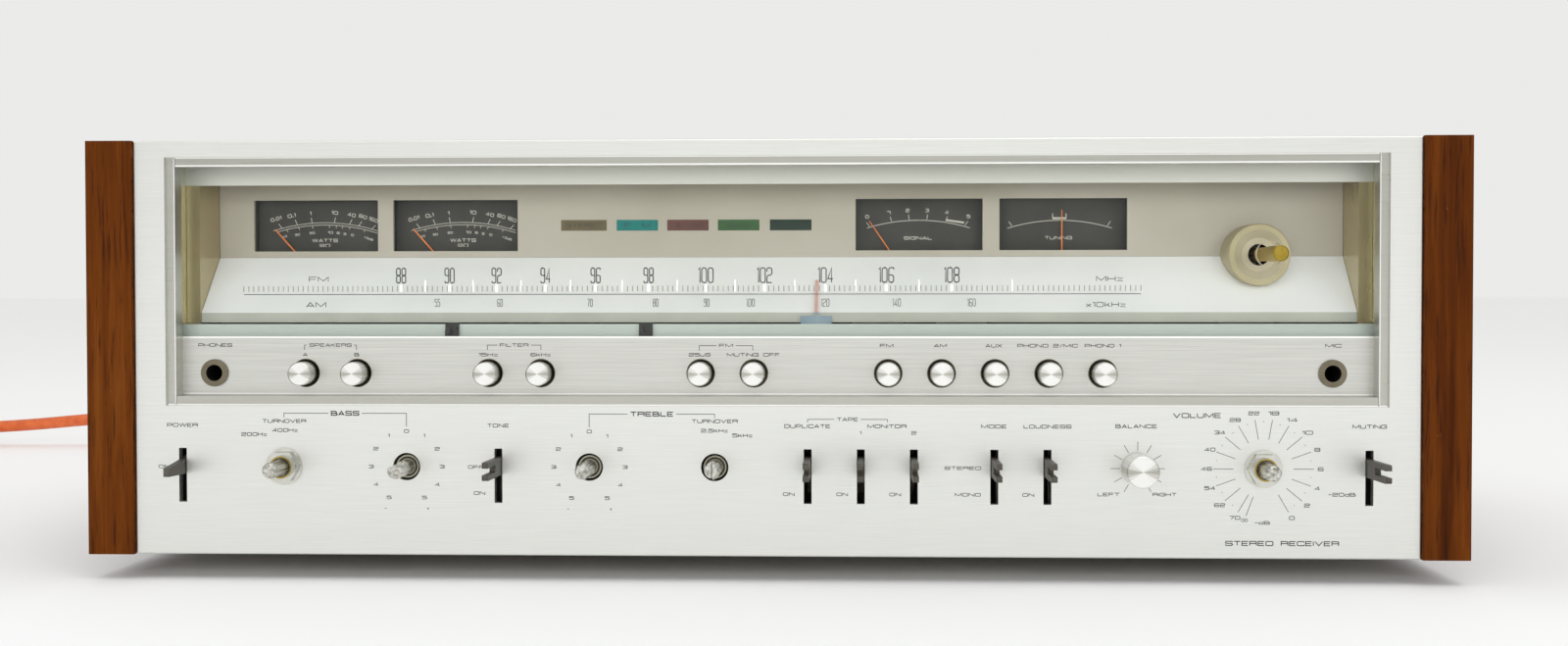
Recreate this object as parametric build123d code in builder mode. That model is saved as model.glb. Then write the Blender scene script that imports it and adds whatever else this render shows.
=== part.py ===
from build123d import *

import math
import os

# A stereo receiver in a wooden-sided cabinet. Millimetres. X is to the right, Y is to the back,
# Z is up, and Z = 0 is the surface that the feet stand on. "Depth" is the distance behind the
# front of the faceplate, so a negative depth stands out towards the user.

# Cabinet
CABINET_W = 526.0
PANEL_W = 490.0
WOOD_T = (CABINET_W - PANEL_W) / 2
FOOT_H = 10.0
PANEL_H = 159.0
TOP_Z = FOOT_H + PANEL_H
FRONT_Y = -174.0
REAR_Y = 178.0
SHEET_T = 1.5
REAR_DEPTH = REAR_Y - FRONT_Y
WOOD_PROUD = 2.0
WOOD_BACK_Y = 174.0
GAP = 0.1

# Faceplate and its window
FACE_T = 4.0
FACE_EDGE_R = 0.8
OPENING_X = 232.8
OPENING_Z = (67.3, 162.7)
FRAME_BAR = 3.6
FRAME_DEPTH = 1.5
GLASS_DEPTH = 8.5
GLASS_T = 3.0
GLASS_X = 231.8
GLASS_TOP_Z = 160.5
STRIP_T = 3.0
STRIP_Z = (67.4, 93.7)
REVEAL_DEPTH = 21.0
REVEAL_T = 2.0
MASK_Z = 152.85

# Dial behind the window
CHEEK_X = 226.5
DIAL_FLOOR_Z = (86.0, 88.0)
DIAL_ROOF_Z = (158.0, 160.0)
DIAL_BACK = 46.0
METER_PANEL_DEPTH = 44.0
SCALE_LOW = (22.0, 102.65)
SCALE_HIGH = (43.95, 124.6)
SCALE_T = 1.5
SCALE_LIP = 3.85
RAIL_DEPTH = (14.0, 16.0)
RAIL_TOP_Z = 98.3
GUIDE_ROD = (26.5, 94.0)
GUIDE_ROD_R = 2.0

# Meters: centre, height of the needle's pivot and the needle's length
METER_W = 50.9
METER_Z = (127.2, 147.95)
METERS = {
    "power_meter_left": (-186.8, 115.7, 27.7),
    "power_meter_right": (-129.6, 115.7, 27.7),
    "signal_meter": (58.1, 110.0, 35.3),
    "tuning_meter": (115.7, 110.0, 33.5),
}
NEEDLE_REST = {
    "power_meter_left": -41.8,
    "power_meter_right": -41.8,
    "signal_meter": -34.3,
    "tuning_meter": 0.0,
}
METER_CASE_W = 54.0
METER_CASE_Z = (102.0, 151.5)
METER_CASE_DEPTH = (46.1, 66.0)
METER_CASE_T = 1.2
SPINDLE_R = 0.7
METER_FACE_DEPTH = 51.1
NEEDLE_DEPTH = 49.4

# Indicator windows: centre and width
INDICATORS = [(-77.2, 18.6), (-55.5, 16.8), (-35.0, 16.8), (-14.5, 16.8), (6.5, 16.8)]
INDICATOR_Z = 137.55
INDICATOR_H = 4.4

# Tuning
TUNING_X = 190.1
TUNING_Z = 125.0
COLLAR_R = 12.1
COLLAR_FACE = 27.0
SHAFT_R = 3.0
JOURNAL_R = 2.7
SHAFT_FIT = 0.05
CAPSTAN_R = 5.0
DRUM_X = 60.0
DRUM_Z = 64.0
DRUM_R = 43.5
DRUM_DEPTH = (96.0, 104.0)
POINTER_X = 17.3
MARKERS = {"station_marker_left": -124.3, "station_marker_right": -48.6}

# Button strip
BUTTON_Z = 79.5
BUTTON_R = 4.5
BUTTON_HOLE_R = 5.3
BUTTONS = {
    "speakers_a_button": -180.7,
    "speakers_b_button": -160.4,
    "low_filter_button": -109.1,
    "high_filter_button": -88.8,
    "fm_25us_button": -26.9,
    "fm_muting_button": -6.4,
    "fm_button": 45.2,
    "am_button": 65.6,
    "aux_button": 86.0,
    "phono_2_button": 106.5,
    "phono_1_button": 127.0,
}
JACKS = {"phones": -216.5, "mic": 213.7}
JACK_R = 3.2
JACK_BUSH_R = 4.55
JACK_HOLE_R = 4.6
JACK_BODY = 12.8

# Levers and rotary controls on the lower panel
LEVER_Z = 40.6
LEVER_SLOT = (3.0, 20.8)
LEVER_PIVOT = 45.0
LEVER_REACH = 26.0
POWER_REACH = 17.5
LEVER_T = 2.3
LEVER_H = 6.8
LEVER_REST = 5.2
LEVER_BEND = 4.5
POWER_BEND = 7.0
BEND_DEPTH = 5.0
NOTCH_H = 2.5
NOTCH_LONG = 13.0
LEVER_HUB_R = 4.2
LEVER_PIN_R = 1.5
LEVERS = {
    "power_lever": -226.3,
    "tone_lever": -103.9,
    "tape_duplicate_lever": 14.5,
    "tape_monitor_1_lever": 34.7,
    "tape_monitor_2_lever": 54.8,
    "mode_lever": 85.2,
    "loudness_lever": 105.2,
    "muting_lever": 225.5,
}
ROTARY_Z = 44.0
ROTARIES = {
    "bass_turnover_shaft": -186.8,
    "bass_shaft": -139.3,
    "treble_shaft": -68.9,
    "treble_turnover_shaft": -20.9,
    "balance_knob": 139.1,
    "volume_shaft": 186.1,
}
WITH_NUT = ("bass_turnover_shaft", "volume_shaft")
NUT_HOLE_R = 4.75
SHAFT_HOLE_R = 5.25
BUSH_R = 4.4
SHAFT_OUT = 18.0
SUB_PANEL = (13.0, 14.5)
SUB_PANEL_TOP_Z = 66.0
POT_BACK = 31.0
POT_R = {"volume_shaft": 15.0}

# Mains lead: where it leaves the rear panel, and the stretch before its coil
LEAD_D = 8.0
LEAD_EXIT_X = -215.0
LEAD_EXIT_Z = 42.0
RELIEF_END_Y = 199.5
LEAD_ROUTE = [
    (LEAD_EXIT_X, RELIEF_END_Y, LEAD_EXIT_Z),
    (-215, 243, 42),
    (-232, 292, 39),
    (-276, 336, 35.5),
    (-340, 368, 31),
    (-412, 387, 26),
    (-490, 396, 20.5),
    (-556, 398, 14.2),
    (-606, 397, 12.6),
]
COIL_AT = (-618.0, 352.0)
COIL_R = 44.0
COIL_WIDE = 24.0
COIL_TALL = 17.0
PLUG_X = COIL_AT[0] - 50.0

os.makedirs("parts", exist_ok=True)


def middle(span):
    return (span[0] + span[1]) / 2


def long(span):
    return span[1] - span[0]


def facing_front(depth):
    """The plane at that depth, with X to the right, Z up and its normal towards the user."""
    return Plane(origin=(0, FRONT_Y + depth, 0), x_dir=(1, 0, 0), z_dir=(0, -1, 0))


def facing_right(x=0.0):
    """The plane at that X, in which a point is (Y, Z)."""
    return Plane(origin=(x, 0, 0), x_dir=(0, 1, 0), z_dir=(1, 0, 0))


def profile_point(point):
    """A (depth, height) pair as a point of facing_right."""
    return (FRONT_Y + point[0], point[1])


def block(x, depth, z, mode=Mode.ADD):
    """A box between two values along each axis, in the part being built."""
    with Locations((middle(x), FRONT_Y + middle(depth), middle(z))):
        Box(long(x), long(depth), long(z), mode=mode)


def post_y(x, z, depth, radius, mode=Mode.ADD):
    """A round bar along Y."""
    with Locations(Location((x, FRONT_Y + middle(depth), z), (90, 0, 0))):
        Cylinder(radius, long(depth), mode=mode)


def post_x(x, depth, z, radius, mode=Mode.ADD):
    """A round bar along X."""
    with Locations(Location((middle(x), FRONT_Y + depth, z), (0, 90, 0))):
        Cylinder(radius, long(x), mode=mode)


def post_z(x, depth, z, radius, mode=Mode.ADD):
    """A round bar along Z."""
    with Locations((x, FRONT_Y + depth, middle(z))):
        Cylinder(radius, long(z), mode=mode)


def cone_y(x, z, depth, radii, mode=Mode.ADD):
    """A tapered round along Y, with its radius at the front and at the back."""
    with Locations(Location((x, FRONT_Y + middle(depth), z), (90, 0, 0))):
        Cone(radii[1], radii[0], long(depth), mode=mode)


# Faceplate: an aluminium plate with the window, the lever slots and the control holes.
with BuildPart() as faceplate:
    block((-PANEL_W / 2, PANEL_W / 2), (0, FACE_T), (FOOT_H, TOP_Z))
    fillet(faceplate.faces().sort_by(Axis.Y)[0].edges(), FACE_EDGE_R)
    block((-OPENING_X, OPENING_X), (-1, FACE_T + 1), OPENING_Z, mode=Mode.SUBTRACT)
    with BuildSketch(facing_front(0)):
        for lever_x in LEVERS.values():
            with Locations((lever_x, LEVER_Z)):
                Rectangle(*LEVER_SLOT)
        for rotary, rotary_x in ROTARIES.items():
            with Locations((rotary_x, ROTARY_Z)):
                Circle(NUT_HOLE_R if rotary in WITH_NUT else SHAFT_HOLE_R)
    extrude(amount=-FACE_T, mode=Mode.SUBTRACT)
faceplate.part.label = "faceplate"
export_step(faceplate.part, "parts/faceplate.step")

# Window frame: the bright bar round the opening, the polished reveals and the mask above the dial.
with BuildPart() as window_frame:
    with BuildSketch(facing_front(FRAME_DEPTH)):
        with Locations((0, middle(OPENING_Z))):
            Rectangle(2 * OPENING_X, long(OPENING_Z))
            Rectangle(
                2 * (OPENING_X - FRAME_BAR),
                long(OPENING_Z) - 2 * FRAME_BAR,
                mode=Mode.SUBTRACT,
            )
    extrude(amount=FRAME_DEPTH - GLASS_DEPTH)
    for side in (-1, 1):
        reveal_x = sorted((side * (GLASS_X + GAP), side * (GLASS_X + GAP + REVEAL_T)))
        block(reveal_x, (GLASS_DEPTH, REVEAL_DEPTH + SHEET_T), (STRIP_Z[1], OPENING_Z[1]))
    block(
        (-GLASS_X - GAP, GLASS_X + GAP),
        (GLASS_DEPTH, REVEAL_DEPTH + SHEET_T),
        (OPENING_Z[1] - REVEAL_T, OPENING_Z[1]),
    )
    block(
        (-GLASS_X - GAP, GLASS_X + GAP),
        (REVEAL_DEPTH, REVEAL_DEPTH + SHEET_T),
        (MASK_Z, OPENING_Z[1] - REVEAL_T),
    )
window_frame.part.label = "window_frame"
export_step(window_frame.part, "parts/window_frame.step")

# Button strip below the window.
with BuildPart() as button_panel:
    block((-GLASS_X, GLASS_X), (GLASS_DEPTH, GLASS_DEPTH + STRIP_T), STRIP_Z)
    with BuildSketch(facing_front(GLASS_DEPTH)):
        for button_x in BUTTONS.values():
            with Locations((button_x, BUTTON_Z)):
                Circle(BUTTON_HOLE_R)
        for jack_x in JACKS.values():
            with Locations((jack_x, BUTTON_Z)):
                Circle(JACK_HOLE_R)
    extrude(amount=-STRIP_T, mode=Mode.SUBTRACT)
button_panel.part.label = "button_panel"
export_step(button_panel.part, "parts/button_panel.step")

# Dial glass, with a small hole for the tuning shaft.
with BuildPart() as dial_glass:
    block(
        (-GLASS_X, GLASS_X),
        (GLASS_DEPTH, GLASS_DEPTH + GLASS_T),
        (STRIP_Z[1] + GAP, GLASS_TOP_Z),
    )
    post_y(TUNING_X, TUNING_Z, (GLASS_DEPTH - 1, GLASS_DEPTH + 4), 5.0, mode=Mode.SUBTRACT)
dial_glass.part.label = "dial_glass"
export_step(dial_glass.part, "parts/dial_glass.step")

# Meter panel: the upright plate behind the glass that the meters and indicators show through.
with BuildPart() as meter_panel:
    block(
        (-CHEEK_X + GAP, CHEEK_X - GAP),
        (METER_PANEL_DEPTH, DIAL_BACK),
        (SCALE_HIGH[1] + GAP, DIAL_ROOF_Z[0]),
    )
    with BuildSketch(facing_front(METER_PANEL_DEPTH)):
        for meter_x, *_ in METERS.values():
            with Locations((meter_x, middle(METER_Z))):
                Rectangle(METER_W, long(METER_Z))
        for lens_x, lens_w in INDICATORS:
            with Locations((lens_x, INDICATOR_Z)):
                Rectangle(lens_w, INDICATOR_H)
        with Locations((TUNING_X, TUNING_Z)):
            Circle(COLLAR_R)
    extrude(amount=METER_PANEL_DEPTH - DIAL_BACK, mode=Mode.SUBTRACT)
meter_panel.part.label = "meter_panel"
export_step(meter_panel.part, "parts/meter_panel.step")

# Scale plate: the sloping white plate that carries the station scale, with a lip along its foot.
with BuildPart() as scale_plate:
    with BuildSketch(facing_right(-CHEEK_X + GAP)):
        with BuildLine():
            across = SCALE_T * math.sqrt(2)
            Polyline(
                profile_point((SCALE_LOW[0], SCALE_LOW[1] - SCALE_LIP)),
                profile_point(SCALE_LOW),
                profile_point(SCALE_HIGH),
                profile_point((SCALE_HIGH[0] + across, SCALE_HIGH[1])),
                profile_point((SCALE_LOW[0] + SCALE_T, SCALE_LOW[1] - across + SCALE_T)),
                profile_point((SCALE_LOW[0] + SCALE_T, SCALE_LOW[1] - SCALE_LIP)),
                close=True,
            )
        make_face()
    extrude(amount=2 * (CHEEK_X - GAP))
    post_y(TUNING_X, TUNING_Z, (20, 50), COLLAR_R + 0.05, mode=Mode.SUBTRACT)
scale_plate.part.label = "scale_plate"
export_step(scale_plate.part, "parts/scale_plate.step")

# Dial box: the floor with the marker rail, the roof, the end cheeks and the pointer's guide rod.
with BuildPart() as dial_box:
    block((-GLASS_X, GLASS_X), (12, DIAL_BACK), DIAL_FLOOR_Z)
    block((-GLASS_X, GLASS_X), RAIL_DEPTH, (DIAL_FLOOR_Z[0], RAIL_TOP_Z))
    block((-GLASS_X, GLASS_X), (REVEAL_DEPTH + SHEET_T + GAP, DIAL_BACK), DIAL_ROOF_Z)
    for side in (-1, 1):
        cheek_x = sorted((side * CHEEK_X, side * GLASS_X))
        block(cheek_x, (REVEAL_DEPTH, DIAL_BACK), (DIAL_FLOOR_Z[0], MASK_Z - 0.05))
        block(cheek_x, (REVEAL_DEPTH + SHEET_T + GAP, DIAL_BACK), (MASK_Z - 1, DIAL_ROOF_Z[1]))
    post_x((-CHEEK_X, CHEEK_X), GUIDE_ROD[0], GUIDE_ROD[1], GUIDE_ROD_R)
dial_box.part.label = "dial_box"
export_step(dial_box.part, "parts/dial_box.step")

# Meter cases: an open-fronted case with a spindle for each needle.
with BuildPart() as meter_cases:
    for meter_x, pivot_z, _ in METERS.values():
        case_x = (meter_x - METER_CASE_W / 2, meter_x + METER_CASE_W / 2)
        block(case_x, METER_CASE_DEPTH, METER_CASE_Z)
        block(
            (case_x[0] + METER_CASE_T, case_x[1] - METER_CASE_T),
            (METER_CASE_DEPTH[0] - 1, METER_FACE_DEPTH),
            (METER_CASE_Z[0] + METER_CASE_T, METER_CASE_Z[1] - METER_CASE_T),
            mode=Mode.SUBTRACT,
        )
        post_y(meter_x, pivot_z, (47.6, METER_FACE_DEPTH + 1), SPINDLE_R)
meter_cases.part.label = "meter_cases"
export_step(meter_cases.part, "parts/meter_cases.step")

# Indicator lenses: one small coloured window for each source.
with BuildPart() as indicator_lenses:
    for lens_x, lens_w in INDICATORS:
        block(
            (lens_x - lens_w / 2, lens_x + lens_w / 2),
            (METER_PANEL_DEPTH + 0.3, DIAL_BACK),
            (INDICATOR_Z - INDICATOR_H / 2, INDICATOR_Z + INDICATOR_H / 2),
        )
indicator_lenses.part.label = "indicator_lenses"
export_step(indicator_lenses.part, "parts/indicator_lenses.step")

# Tuning collar: the round boss that the tuning shaft comes out of, with a dished face.
with BuildPart() as tuning_collar:
    post_y(TUNING_X, TUNING_Z, (COLLAR_FACE, DIAL_BACK), COLLAR_R)
    fillet(tuning_collar.edges().group_by(Axis.Y)[0], 0.8)
    cone_y(TUNING_X, TUNING_Z, (COLLAR_FACE, COLLAR_FACE + 1.8), (9.8, 6.6), mode=Mode.SUBTRACT)
    post_y(TUNING_X, TUNING_Z, (COLLAR_FACE - 1, DIAL_BACK + 1), 4.2, mode=Mode.SUBTRACT)
tuning_collar.part.label = "tuning_collar"
export_step(tuning_collar.part, "parts/tuning_collar.step")

# Wooden side panels.
with BuildPart() as side_panels:
    for side in (-1, 1):
        with BuildSketch(facing_right(side * middle((PANEL_W / 2, CABINET_W / 2)))):
            with Locations((middle((FRONT_Y - WOOD_PROUD, WOOD_BACK_Y)), middle((FOOT_H, TOP_Z)))):
                Rectangle(long((FRONT_Y - WOOD_PROUD, WOOD_BACK_Y)), PANEL_H)
        extrude(amount=WOOD_T / 2, both=True)
    fillet(side_panels.edges().filter_by(Axis.Z), 0.9)
side_panels.part.label = "side_panels"
export_step(side_panels.part, "parts/side_panels.step")

# Chassis: the bottom tray with its vents, the two side walls and the sub-panel for the controls.
CHASSIS_X = (PANEL_W - SHEET_T * 2) / 2
CHASSIS_TOP_Z = 165.9
with BuildPart() as chassis:
    block((-CHASSIS_X, CHASSIS_X), (SUB_PANEL[0], REAR_DEPTH - SHEET_T), (FOOT_H, FOOT_H + SHEET_T))
    for side in (-1, 1):
        wall_x = sorted((side * (CHASSIS_X - SHEET_T), side * CHASSIS_X))
        block(wall_x, (SUB_PANEL[0], REAR_DEPTH - SHEET_T), (FOOT_H, CHASSIS_TOP_Z))
    block((-CHASSIS_X, CHASSIS_X), SUB_PANEL, (FOOT_H, SUB_PANEL_TOP_Z))
    with BuildSketch(facing_front(SUB_PANEL[0])):
        for lever_x in LEVERS.values():
            with Locations((lever_x, LEVER_Z)):
                Rectangle(LEVER_SLOT[0] + 1, LEVER_SLOT[1] + 2)
        for rotary_x in ROTARIES.values():
            with Locations((rotary_x, ROTARY_Z)):
                Circle(4.5)
    extrude(amount=-SHEET_T, mode=Mode.SUBTRACT)
    with BuildSketch(Plane.XY.offset(FOOT_H)):
        with Locations((0, 20)):
            with GridLocations(18, 70, 16, 2):
                SlotOverall(50, 4, rotation=90)
    extrude(amount=SHEET_T, mode=Mode.SUBTRACT)
chassis.part.label = "chassis"
export_step(chassis.part, "parts/chassis.step")

# Top cover: a folded sheet with rows of cooling slots, and a short flange down each side.
COVER_Z = (166.0, 167.2)
COVER_X = PANEL_W / 2 - GAP
COVER_SLOTS = (26, 4)
FLANGE_LOW_Z = 148.0
with BuildPart() as top_cover:
    block((-COVER_X, COVER_X), (FACE_T + GAP, REAR_DEPTH), COVER_Z)
    for side in (-1, 1):
        flange_x = sorted((side * (CHASSIS_X + GAP), side * COVER_X))
        block(flange_x, (FACE_T + GAP, REAR_DEPTH), (FLANGE_LOW_Z, COVER_Z[1]))
    fillet(top_cover.edges().filter_by(Axis.Y).group_by(Axis.Z)[-1].sort_by(Axis.X)[0], 1.0)
    fillet(top_cover.edges().filter_by(Axis.Y).group_by(Axis.Z)[-1].sort_by(Axis.X)[-1], 1.0)
    with BuildSketch(Plane.XY.offset(COVER_Z[0])):
        with Locations((0, 22)):
            with GridLocations(16, 66, *COVER_SLOTS):
                SlotOverall(52, 4.5, rotation=90)
    extrude(amount=long(COVER_Z), mode=Mode.SUBTRACT)
top_cover.part.label = "top_cover"
export_step(top_cover.part, "parts/top_cover.step")

# Rear panel.
with BuildPart() as rear_panel:
    block((-CHASSIS_X, CHASSIS_X), (REAR_DEPTH - SHEET_T, REAR_DEPTH), (FOOT_H, CHASSIS_TOP_Z))
rear_panel.part.label = "rear_panel"
export_step(rear_panel.part, "parts/rear_panel.step")

# Feet: four turned rubber feet, set far enough back to be out of sight from the front.
FEET_AT = [(-195.0, 95.0), (195.0, 95.0), (-195.0, 310.0), (195.0, 310.0)]
with BuildPart() as feet:
    for foot_x, foot_depth in FEET_AT:
        with Locations((foot_x, FRONT_Y + foot_depth, FOOT_H / 2)):
            Cone(17, 20, FOOT_H)
    fillet(feet.faces().group_by(Axis.Z)[0].edges(), 1.5)
    for foot_x, foot_depth in FEET_AT:
        post_z(foot_x, foot_depth, (-1, 4), 6, mode=Mode.SUBTRACT)
feet.part.label = "feet"
export_step(feet.part, "parts/feet.step")

# Power transformer: a laminated core between two end bells.
TRANSFORMER_X = (-215.0, -115.0)
TRANSFORMER_DEPTH = (100.0, 190.0)
CORE_Z = (48.0, 92.0)
BELL_TALL = 30.0
BELL_INSET = 8.0
BOLT_INSET = (8.0, 6.0)
BOLT_R = 3.4
with BuildPart() as power_transformer:
    block(TRANSFORMER_X, TRANSFORMER_DEPTH, CORE_Z)
    for bell_z in (CORE_Z[1], CORE_Z[0] - BELL_TALL):
        with BuildSketch(Plane.XY.offset(bell_z)):
            with Locations((middle(TRANSFORMER_X), FRONT_Y + middle(TRANSFORMER_DEPTH))):
                RectangleRounded(
                    long(TRANSFORMER_X) - 2 * BELL_INSET,
                    long(TRANSFORMER_DEPTH) - 2 * BELL_INSET,
                    10,
                )
        extrude(amount=BELL_TALL)
    fillet(power_transformer.faces().sort_by(Axis.Z)[-1].edges(), 5)
    for corner_x in (-1, 1):
        for corner_y in (-1, 1):
            post_z(
                middle(TRANSFORMER_X) + corner_x * (long(TRANSFORMER_X) / 2 - BOLT_INSET[0]),
                middle(TRANSFORMER_DEPTH) + corner_y * (long(TRANSFORMER_DEPTH) / 2 - BOLT_INSET[1]),
                (FOOT_H + SHEET_T, CORE_Z[1] + 6),
                BOLT_R,
            )
power_transformer.part.label = "power_transformer"
export_step(power_transformer.part, "parts/power_transformer.step")

# Heat sink: an upright plate with fins, and the output transistors bolted to its face.
SINK_X = (-50.0, 110.0)
SINK_DEPTH = (262.0, 310.0)
SINK_Z = (28.0, 150.0)
SINK_PLATE = (SINK_DEPTH[0], SINK_DEPTH[0] + 6.0)
FIN_COUNT = 14
FIN_WIDE = 2.0
with BuildPart() as heat_sink:
    block(SINK_X, SINK_PLATE, SINK_Z)
    fin_step = (long(SINK_X) - FIN_WIDE) / (FIN_COUNT - 1)
    for fin in range(FIN_COUNT):
        fin_x = SINK_X[0] + fin * fin_step
        block((fin_x, fin_x + FIN_WIDE), (SINK_PLATE[1], SINK_DEPTH[1]), SINK_Z)
    for foot_x in SINK_X:
        inward = 12 if foot_x < 0 else -12
        block(sorted((foot_x, foot_x + inward)), SINK_PLATE, (FOOT_H + SHEET_T, SINK_Z[0]))
with BuildPart() as transistors:
    for transistor in range(4):
        transistor_x = SINK_X[0] + 24 + transistor * 37
        block((transistor_x - 8, transistor_x + 8), (SINK_DEPTH[0] - 5, SINK_DEPTH[0]), (95, 118))
heat_sink_group = Compound(children=[*heat_sink.part.solids(), *transistors.part.solids()])
heat_sink_group.label = "heat_sink"
export_step(heat_sink_group, "parts/heat_sink.step")

# Circuit boards: the main and tuner boards with the parts that stand on them.
MAIN_BOARD_Z = (22.0, 23.6)
TUNER_BOARD_Z = (60.0, 61.6)
STAND_R = 3.0
SMOOTHING_CAN_R = 24.0
with BuildPart() as circuit_boards:
    block((-95, 225), (118, 232), MAIN_BOARD_Z)
    for stand_x in (-88, 218):
        for stand_depth in (124, 226):
            post_z(stand_x, stand_depth, (FOOT_H + SHEET_T, MAIN_BOARD_Z[0]), STAND_R)
    block((128, 232), (240, 330), TUNER_BOARD_Z)
    for stand_x in (134, 226):
        for stand_depth in (246, 324):
            post_z(stand_x, stand_depth, (FOOT_H + SHEET_T, TUNER_BOARD_Z[0]), STAND_R)
with BuildPart() as board_parts:
    block((DRUM_X - 20, DRUM_X + 20), (DRUM_DEPTH[1] + 15, 160), (MAIN_BOARD_Z[1], DRUM_Z + 22))
    post_y(DRUM_X, DRUM_Z, (DRUM_DEPTH[0] - 2, DRUM_DEPTH[1] + 15), 2.95)
    for can_x in (-80, -132):
        post_z(can_x, 285, (FOOT_H + SHEET_T, 98), SMOOTHING_CAN_R)
    for part_number in range(9):
        post_z(-75 + part_number * 17, 185 + 14 * (part_number % 3), (MAIN_BOARD_Z[1], 46), 5)
    for part_number in range(5):
        block((104 + 22 * part_number, 116 + 22 * part_number), (140, 152), (MAIN_BOARD_Z[1], 38))
        block((138 + 18 * part_number, 148 + 18 * part_number), (258, 270), (TUNER_BOARD_Z[1], 76))
    for part_number in range(3):
        block((150 + 26 * part_number, 156 + 26 * part_number), (285, 307), (TUNER_BOARD_Z[1], 66))
boards_group = Compound(children=[*circuit_boards.part.solids(), *board_parts.part.solids()])
boards_group.label = "circuit_boards"
export_step(boards_group, "parts/circuit_boards.step")

# Control bodies behind the sub-panel: potentiometers with bushings, lever switches with pins,
# the button switch bank and the tuning shaft's bearing.
SWITCH_DEPTH = (SUB_PANEL[1] + GAP, 62.0)
POT_USUAL_R = 12.0
NUT_WIDE = 11.0
WASHER_R = 7.1
BUTTON_BANK = (22.0, 42.0)
with BuildPart() as control_bodies:
    for rotary, rotary_x in ROTARIES.items():
        bush_front = -5.0 if rotary in WITH_NUT else 1.5
        post_y(rotary_x, ROTARY_Z, (SUB_PANEL[1] + GAP, POT_BACK), POT_R.get(rotary, POT_USUAL_R))
        post_y(rotary_x, ROTARY_Z, (bush_front, SUB_PANEL[1] + 0.2), BUSH_R)
        if rotary in WITH_NUT:
            post_y(rotary_x, ROTARY_Z, (-1.0, -0.05), WASHER_R)
            with BuildSketch(facing_front(-1.0)):
                with Locations((rotary_x, ROTARY_Z)):
                    RegularPolygon(NUT_WIDE / 2, 6, major_radius=False)
            extrude(amount=2.2)
        post_y(rotary_x, ROTARY_Z, (bush_front - 1, 29.5), JOURNAL_R + SHAFT_FIT, Mode.SUBTRACT)
    for lever_x in LEVERS.values():
        block((lever_x - 5, lever_x + 5), SWITCH_DEPTH, (LEVER_Z - 14, LEVER_Z + 14))
        block(
            (lever_x - 1.7, lever_x + 1.7),
            (SWITCH_DEPTH[0] - 1, 54),
            (LEVER_Z - 12, LEVER_Z + 12),
            mode=Mode.SUBTRACT,
        )
        post_x((lever_x - 4, lever_x + 4), LEVER_PIVOT, LEVER_Z, LEVER_PIN_R)
    for button_x in BUTTONS.values():
        block((button_x - 6, button_x + 6), BUTTON_BANK, (BUTTON_Z - 6.2, BUTTON_Z + 6.2))
        post_y(button_x, BUTTON_Z, (BUTTON_BANK[0] - 1, 40), 2.1, mode=Mode.SUBTRACT)
    block((TUNING_X - 11, TUNING_X + 11), (52, 62), (FOOT_H + SHEET_T, TUNING_Z + 11))
    post_y(TUNING_X, TUNING_Z, (51, 63), JOURNAL_R + SHAFT_FIT, Mode.SUBTRACT)
control_bodies.part.label = "control_bodies"
export_step(control_bodies.part, "parts/control_bodies.step")

# Jack sockets: a ring and a housing round a 6.35 mm bore, in the button strip.
with BuildPart() as jack_sockets:
    for jack_x in JACKS.values():
        post_y(jack_x, BUTTON_Z, (GLASS_DEPTH - 0.9, GLASS_DEPTH - 0.02), 5.3)
        post_y(jack_x, BUTTON_Z, (GLASS_DEPTH - 0.2, GLASS_DEPTH + STRIP_T + GAP), JACK_BUSH_R)
        block(
            (jack_x - JACK_BODY / 2, jack_x + JACK_BODY / 2),
            (GLASS_DEPTH + STRIP_T + 0.05, 44),
            (BUTTON_Z - JACK_BODY / 2, BUTTON_Z + JACK_BODY / 2),
        )
        post_y(jack_x, BUTTON_Z, (GLASS_DEPTH - 2, 42), JACK_R, mode=Mode.SUBTRACT)
jack_sockets.part.label = "jack_sockets"
export_step(jack_sockets.part, "parts/jack_sockets.step")

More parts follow.
